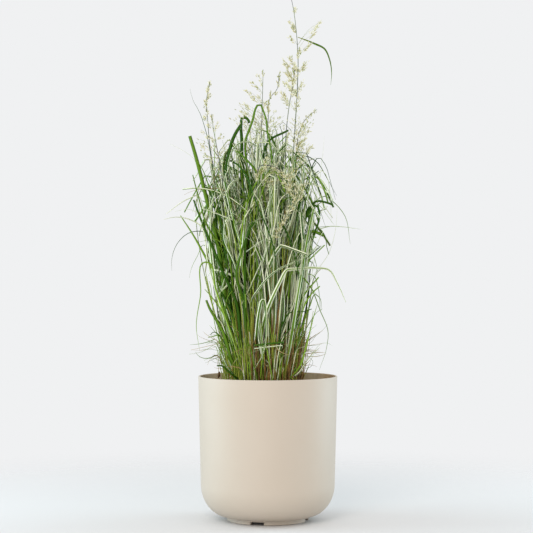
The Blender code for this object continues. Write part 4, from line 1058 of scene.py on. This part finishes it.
def makeCrown():
    rng = random.Random(5)
    draft = startDraft()
    centre = np.array([*clump["centre"], 0]) * mm
    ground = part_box("crown")[0][2]
    for _ in range(crownPlan["stubs"]):
        # browner and taller at the middle and right, greener at the left
        outer = rng.random() < 0.5
        turn = rng.uniform(0, 2 * math.pi)
        out = crownPlan["radius"] * mm * (rng.uniform(0.8, 1.0) if outer else math.sqrt(rng.random()))
        start = centre + np.array([math.cos(turn) * out, math.sin(turn) * out, ground])
        brown = start[0] > -0.035
        lean = 0.13 * out / (crownPlan["radius"] * mm) + rng.gauss(0, 0.11)
        path = leanPath(start, [(0, lean, turn), (1, lean * rng.uniform(-1.0, 1.5), turn + rng.gauss(0, 1.0))],
                        (26 + rng.uniform(*crownPlan["tall" if outer and brown else "height"])) * mm, 9)
        radii = np.linspace(rng.uniform(0.6, 1.6), rng.uniform(0.4, 0.9), 9) * mm
        old = rng.uniform(0.3, 1.4) if brown else rng.uniform(-0.3, 0.7)
        addTube(draft, path, radii, (rng.random(), 0.0, old, 0.0), slot=1, corners=5)
    for _ in range(crownPlan["oldBlades"]):
        turn, out = rng.uniform(0, 2 * math.pi), crownPlan["radius"] * mm * rng.uniform(0.6, 1.0)
        start = centre + np.array([math.cos(turn) * out, math.sin(turn) * out, ground + 0.01])
        lean = 0.12 + rng.gauss(0, 0.2)
        way = turn + rng.gauss(0, 0.8)
        path = leanPath(start, [(0, lean, way), (0.6, lean, way), (0.64, lean + rng.uniform(0, 1.9), way),
                                (1, lean + rng.uniform(0, 1.9), way + rng.gauss(0, 0.6))],
                        rng.uniform(60, 190) * mm, 18)
        addBlade(draft, path, rng.uniform(1.4, 3.4) * mm, turn + math.pi / 2,
                 kindLook(rng, rng.choice(["dry", "dry", "green", "fresh"])), twist=rng.gauss(0, 1.0))
    # a dried curl that hangs from its stalk inside the rim
    curl = smoothPath(np.array([(-104, -40, 322), (-104, -41, 315), (-106, -42, 308)]) * mm, 7)
    addTube(draft, curl, np.array([0.8, 2.2, 3.0, 2.9, 3.2, 2.0, 0.8]) * mm, (0.0, 0.0, 1.5, 0.0), slot=1)
    crown = finishDraft(draft, "crownSheaths", [bladeMat, culmMat])
    standFor(crown, "crown", "crown")


makeCrown()
print("crown ready")


# pot: the same profile as the solid, with rounder edges and many more facets

pot = {"height": 310, "rim": 150, "shoulder": 144.5, "shoulderHeight": 78, "wall": 5, "floor": 6,
       "foot": 88, "footInner": 76, "footHeight": 9, "drain": 9, "notchWidth": 30, "notchHeight": 6.5,
       "notchTurn": -15, "rimRound": 1.6, "sides": 160}


def lowerCorner(edge, shoulder, low, high, steps):
    return [(edge + (shoulder - edge) * math.cos(math.pi / 2 * i / steps),
             high - (high - low) * math.sin(math.pi / 2 * i / steps)) for i in range(steps + 1)]


def potProfile():
    p = pot
    r, inner, top = p["rimRound"], p["rim"] - p["wall"], p["height"]
    outerArc = [(p["rim"] - r + r * math.sin(a), top - r + r * math.cos(a))
                for a in np.linspace(0, math.pi / 2, 5)]
    innerArc = [(inner + r - r * math.cos(a), top - r + r * math.sin(a))
                for a in np.linspace(0, math.pi / 2, 5)]
    inside = lowerCorner(p["foot"], p["shoulder"] - p["wall"], p["footHeight"] + p["floor"],
                         p["shoulderHeight"], 14)
    outside = lowerCorner(p["foot"], p["shoulder"], p["footHeight"], p["shoulderHeight"], 18)
    foot = [(p["foot"], 0.8), (p["foot"] - 0.8, 0.0), (p["footInner"] + 0.8, 0.0),
            (p["footInner"], 0.8), (p["footInner"], p["footHeight"])]
    drain = [(p["drain"], p["footHeight"]), (p["drain"], p["footHeight"] + p["floor"])]
    return outerArc + outside + foot + drain + inside[::-1] + innerArc[:-1]


def makePot():
    profile = potProfile()
    mesh = bpy.data.meshes.new("potSection")
    loop = [(i, (i + 1) % len(profile)) for i in range(len(profile))]
    mesh.from_pydata([(x * mm, 0, z * mm) for x, z in profile], loop, [])
    thing = bpy.data.objects.new("planter", mesh)
    bpy.context.scene.collection.objects.link(thing)
    screw = thing.modifiers.new("turn", "SCREW")
    screw.steps = screw.render_steps = pot["sides"]
    screw.use_merge_vertices = True
    screw.merge_threshold = 0.00005
    bars = []
    for i in range(2):
        bpy.ops.mesh.primitive_cube_add(size=1, rotation=(0, 0, math.radians(pot["notchTurn"] + 90 * i)))
        bar = bpy.context.object
        bar.scale = (pot["notchWidth"] * mm, 3 * pot["foot"] * mm, 2 * pot["notchHeight"] * mm)
        cut = thing.modifiers.new("notch", "BOOLEAN")
        cut.object = bar
        cut.solver = "EXACT"
        bars.append(bar)
    bpy.context.view_layer.update()
    solid = bpy.data.meshes.new_from_object(thing.evaluated_get(bpy.context.evaluated_depsgraph_get()))
    thing.modifiers.clear()
    thing.data = solid
    for bar in bars:
        bpy.data.objects.remove(bar)
    solid.materials.clear()
    solid.materials.append(potMat)
    solid.shade_smooth()
    solid.set_sharp_from_angle(angle=math.radians(38))
    standFor(thing, "pot", "pot")


makePot()
print("planter ready")


# potting mix: an uneven crumbly top that fills the pot, with loose crumbs and bark on it

soil = {"top": 264, "drop": 5, "rough": 2.4, "crumbs": 420, "rings": 46, "sides": 150}


def makeSoil():
    rng = random.Random(11)
    low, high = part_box("potting_soil")
    edge = high[0] - 0.0003
    bm = bmesh.new()
    rows = []
    for ring in range(soil["rings"] + 1):
        share = ring / soil["rings"]
        row = []
        for side in range(soil["sides"]):
            turn = 2 * math.pi * side / soil["sides"]
            lump = math.sin(turn * 7 + share * 19) * 0.4 + math.sin(turn * 13 - share * 31) * 0.3
            height = soil["top"] - soil["drop"] * share ** 4 + (lump + rng.uniform(-1, 1) * 0.5) * soil["rough"] * 0.7
            height = min(height * mm, high[2] + 0.003)
            radius = max(edge * share, 0.0008)
            row.append(bm.verts.new((math.cos(turn) * radius, math.sin(turn) * radius, height)))
        rows.append(row)
    skirt = [bm.verts.new((v.co.x, v.co.y, 0.080)) for v in rows[-1]]
    rows.append(skirt)
    shrink = 0.60
    rows.append([bm.verts.new((v.co.x * shrink, v.co.y * shrink, low[2] + 0.0003)) for v in skirt])
    for inner, outer in zip(rows, rows[1:]):
        for side in range(soil["sides"]):
            after = (side + 1) % soil["sides"]
            bm.faces.new((inner[side], outer[side], outer[after], inner[after]))
    bm.faces.new(rows[0])
    bm.faces.new(rows[-1][::-1])
    for _ in range(soil["crumbs"]):
        turn, out = rng.uniform(0, 2 * math.pi), (edge - 0.006) * math.sqrt(rng.random())
        size = rng.uniform(0.8, 3.2) * mm
        made = bmesh.ops.create_icosphere(bm, subdivisions=1, radius=size)["verts"]
        stretch = Vector((rng.uniform(0.7, 2.0), rng.uniform(0.6, 1.2), rng.uniform(0.4, 0.9)))
        spin = rng.uniform(0, math.pi)
        for v in made:
            co = Vector((v.co.x * stretch.x, v.co.y * stretch.y, v.co.z * stretch.z)) * rng.uniform(0.85, 1.1)
            v.co = Vector((co.x * math.cos(spin) - co.y * math.sin(spin) + math.cos(turn) * out,
                           co.x * math.sin(spin) + co.y * math.cos(spin) + math.sin(turn) * out,
                           co.z + (soil["top"] + 1.0) * mm))
    bmesh.ops.recalc_face_normals(bm, faces=bm.faces)
    mesh = bpy.data.meshes.new("pottingMix")
    bm.to_mesh(mesh)
    bm.free()
    mesh.materials.append(soilMat)
    mesh.shade_smooth()
    thing = bpy.data.objects.new("pottingMix", mesh)
    bpy.context.scene.collection.objects.link(thing)
    standFor(thing, "potting_soil", "potting_soil")


makeSoil()
print("potting mix ready")


# studio: a pale floor that fades into a white room, soft light, and the photograph's view

studio = {
    "room": "#F0F1F2",
    "floor": "#D6D3D2",
    "floorRadius": 2.2,
    "cameraAt": (-0.0028, -3.65, 0.546),
    "lens": 114.2,
    "roomLight": 0.78,
}


def makeFloor():
    bm = bmesh.new()
    bmesh.ops.create_circle(bm, cap_ends=True, segments=96, radius=studio["floorRadius"])
    mesh = bpy.data.meshes.new("floor")
    bm.to_mesh(mesh)
    bm.free()
    material, tree, shader = newMaterial("floorPaint")
    spot = addNode(tree, "ShaderNodeTexCoord")
    far = addNode(tree, "ShaderNodeVectorMath", {"operation": "LENGTH"}, {0: spot.outputs["Object"]})
    fade = addNode(tree, "ShaderNodeMapRange",
                   {"interpolation_type": "SMOOTHSTEP", "From Min": 0.35, "From Max": 1.5,
                    "To Min": 1.0, "To Max": 0.0}, {"Value": far.outputs["Value"]})
    shader.inputs["Base Color"].default_value = linear(studio["floor"])
    shader.inputs["Roughness"].default_value = 0.7
    tree.links.new(fade.outputs[0], shader.inputs["Alpha"])
    mesh.materials.append(material)
    floor = bpy.data.objects.new("floor", mesh)
    floor.location.z = -0.0005
    bpy.context.scene.collection.objects.link(floor)


def makeRoom():
    world = bpy.data.worlds.new("whiteRoom")
    bpy.context.scene.world = world
    world.use_nodes = True
    tree = world.node_tree
    tree.nodes.clear()
    seen = addNode(tree, "ShaderNodeBackground", {"Color": linear(studio["room"]), "Strength": 1.0})
    lit = addNode(tree, "ShaderNodeBackground", {"Color": (1, 1, 1, 1), "Strength": studio["roomLight"]})
    ray = addNode(tree, "ShaderNodeLightPath")
    mix = addNode(tree, "ShaderNodeMixShader", {}, {0: ray.outputs["Is Camera Ray"], 1: lit.outputs[0],
                                                    2: seen.outputs[0]})
    addNode(tree, "ShaderNodeOutputWorld", {}, {0: mix.outputs[0]})


def addSoftbox(name, place, target, size, power, tint="#FFFFFF"):
    data = bpy.data.lights.new(name, "AREA")
    data.shape = "RECTANGLE"
    data.size, data.size_y = size
    data.energy = power
    data.color = linear(tint)[:3]
    lamp = bpy.data.objects.new(name, data)
    lamp.location = place
    lamp.rotation_euler = (Vector(target) - Vector(place)).to_track_quat("-Z", "Y").to_euler()
    bpy.context.scene.collection.objects.link(lamp)


def makeCamera():
    data = bpy.data.cameras.new("camera")
    data.lens = studio["lens"]
    data.sensor_width = 36
    camera = bpy.data.objects.new("camera", data)
    camera.location = studio["cameraAt"]
    camera.rotation_euler = (math.radians(90), 0, 0)
    bpy.context.scene.collection.objects.link(camera)
    bpy.context.scene.camera = camera


makeFloor()
makeRoom()
addSoftbox("softboxLeft", (-1.9, 0.1, 0.9), (0, 0, 0.4), (1.4, 1.8), 30, "#D2F2FF")
addSoftbox("softboxRight", (1.9, 0.6, 0.9), (0, 0, 0.4), (1.4, 1.8), 27, "#D6F3FF")
addSoftbox("softboxFront", (-0.8, -2.8, 1.8), (0, 0, 0.6), (1.4, 1.4), 43, "#FFFAF3")
addSoftbox("softboxLow", (0.2, -2.4, 0.16), (0, 0, 0.05), (1.6, 0.3), 5, "#FFFAF3")
makeCamera()
bpy.context.scene.view_settings.view_transform = "Standard"
print("studio ready")
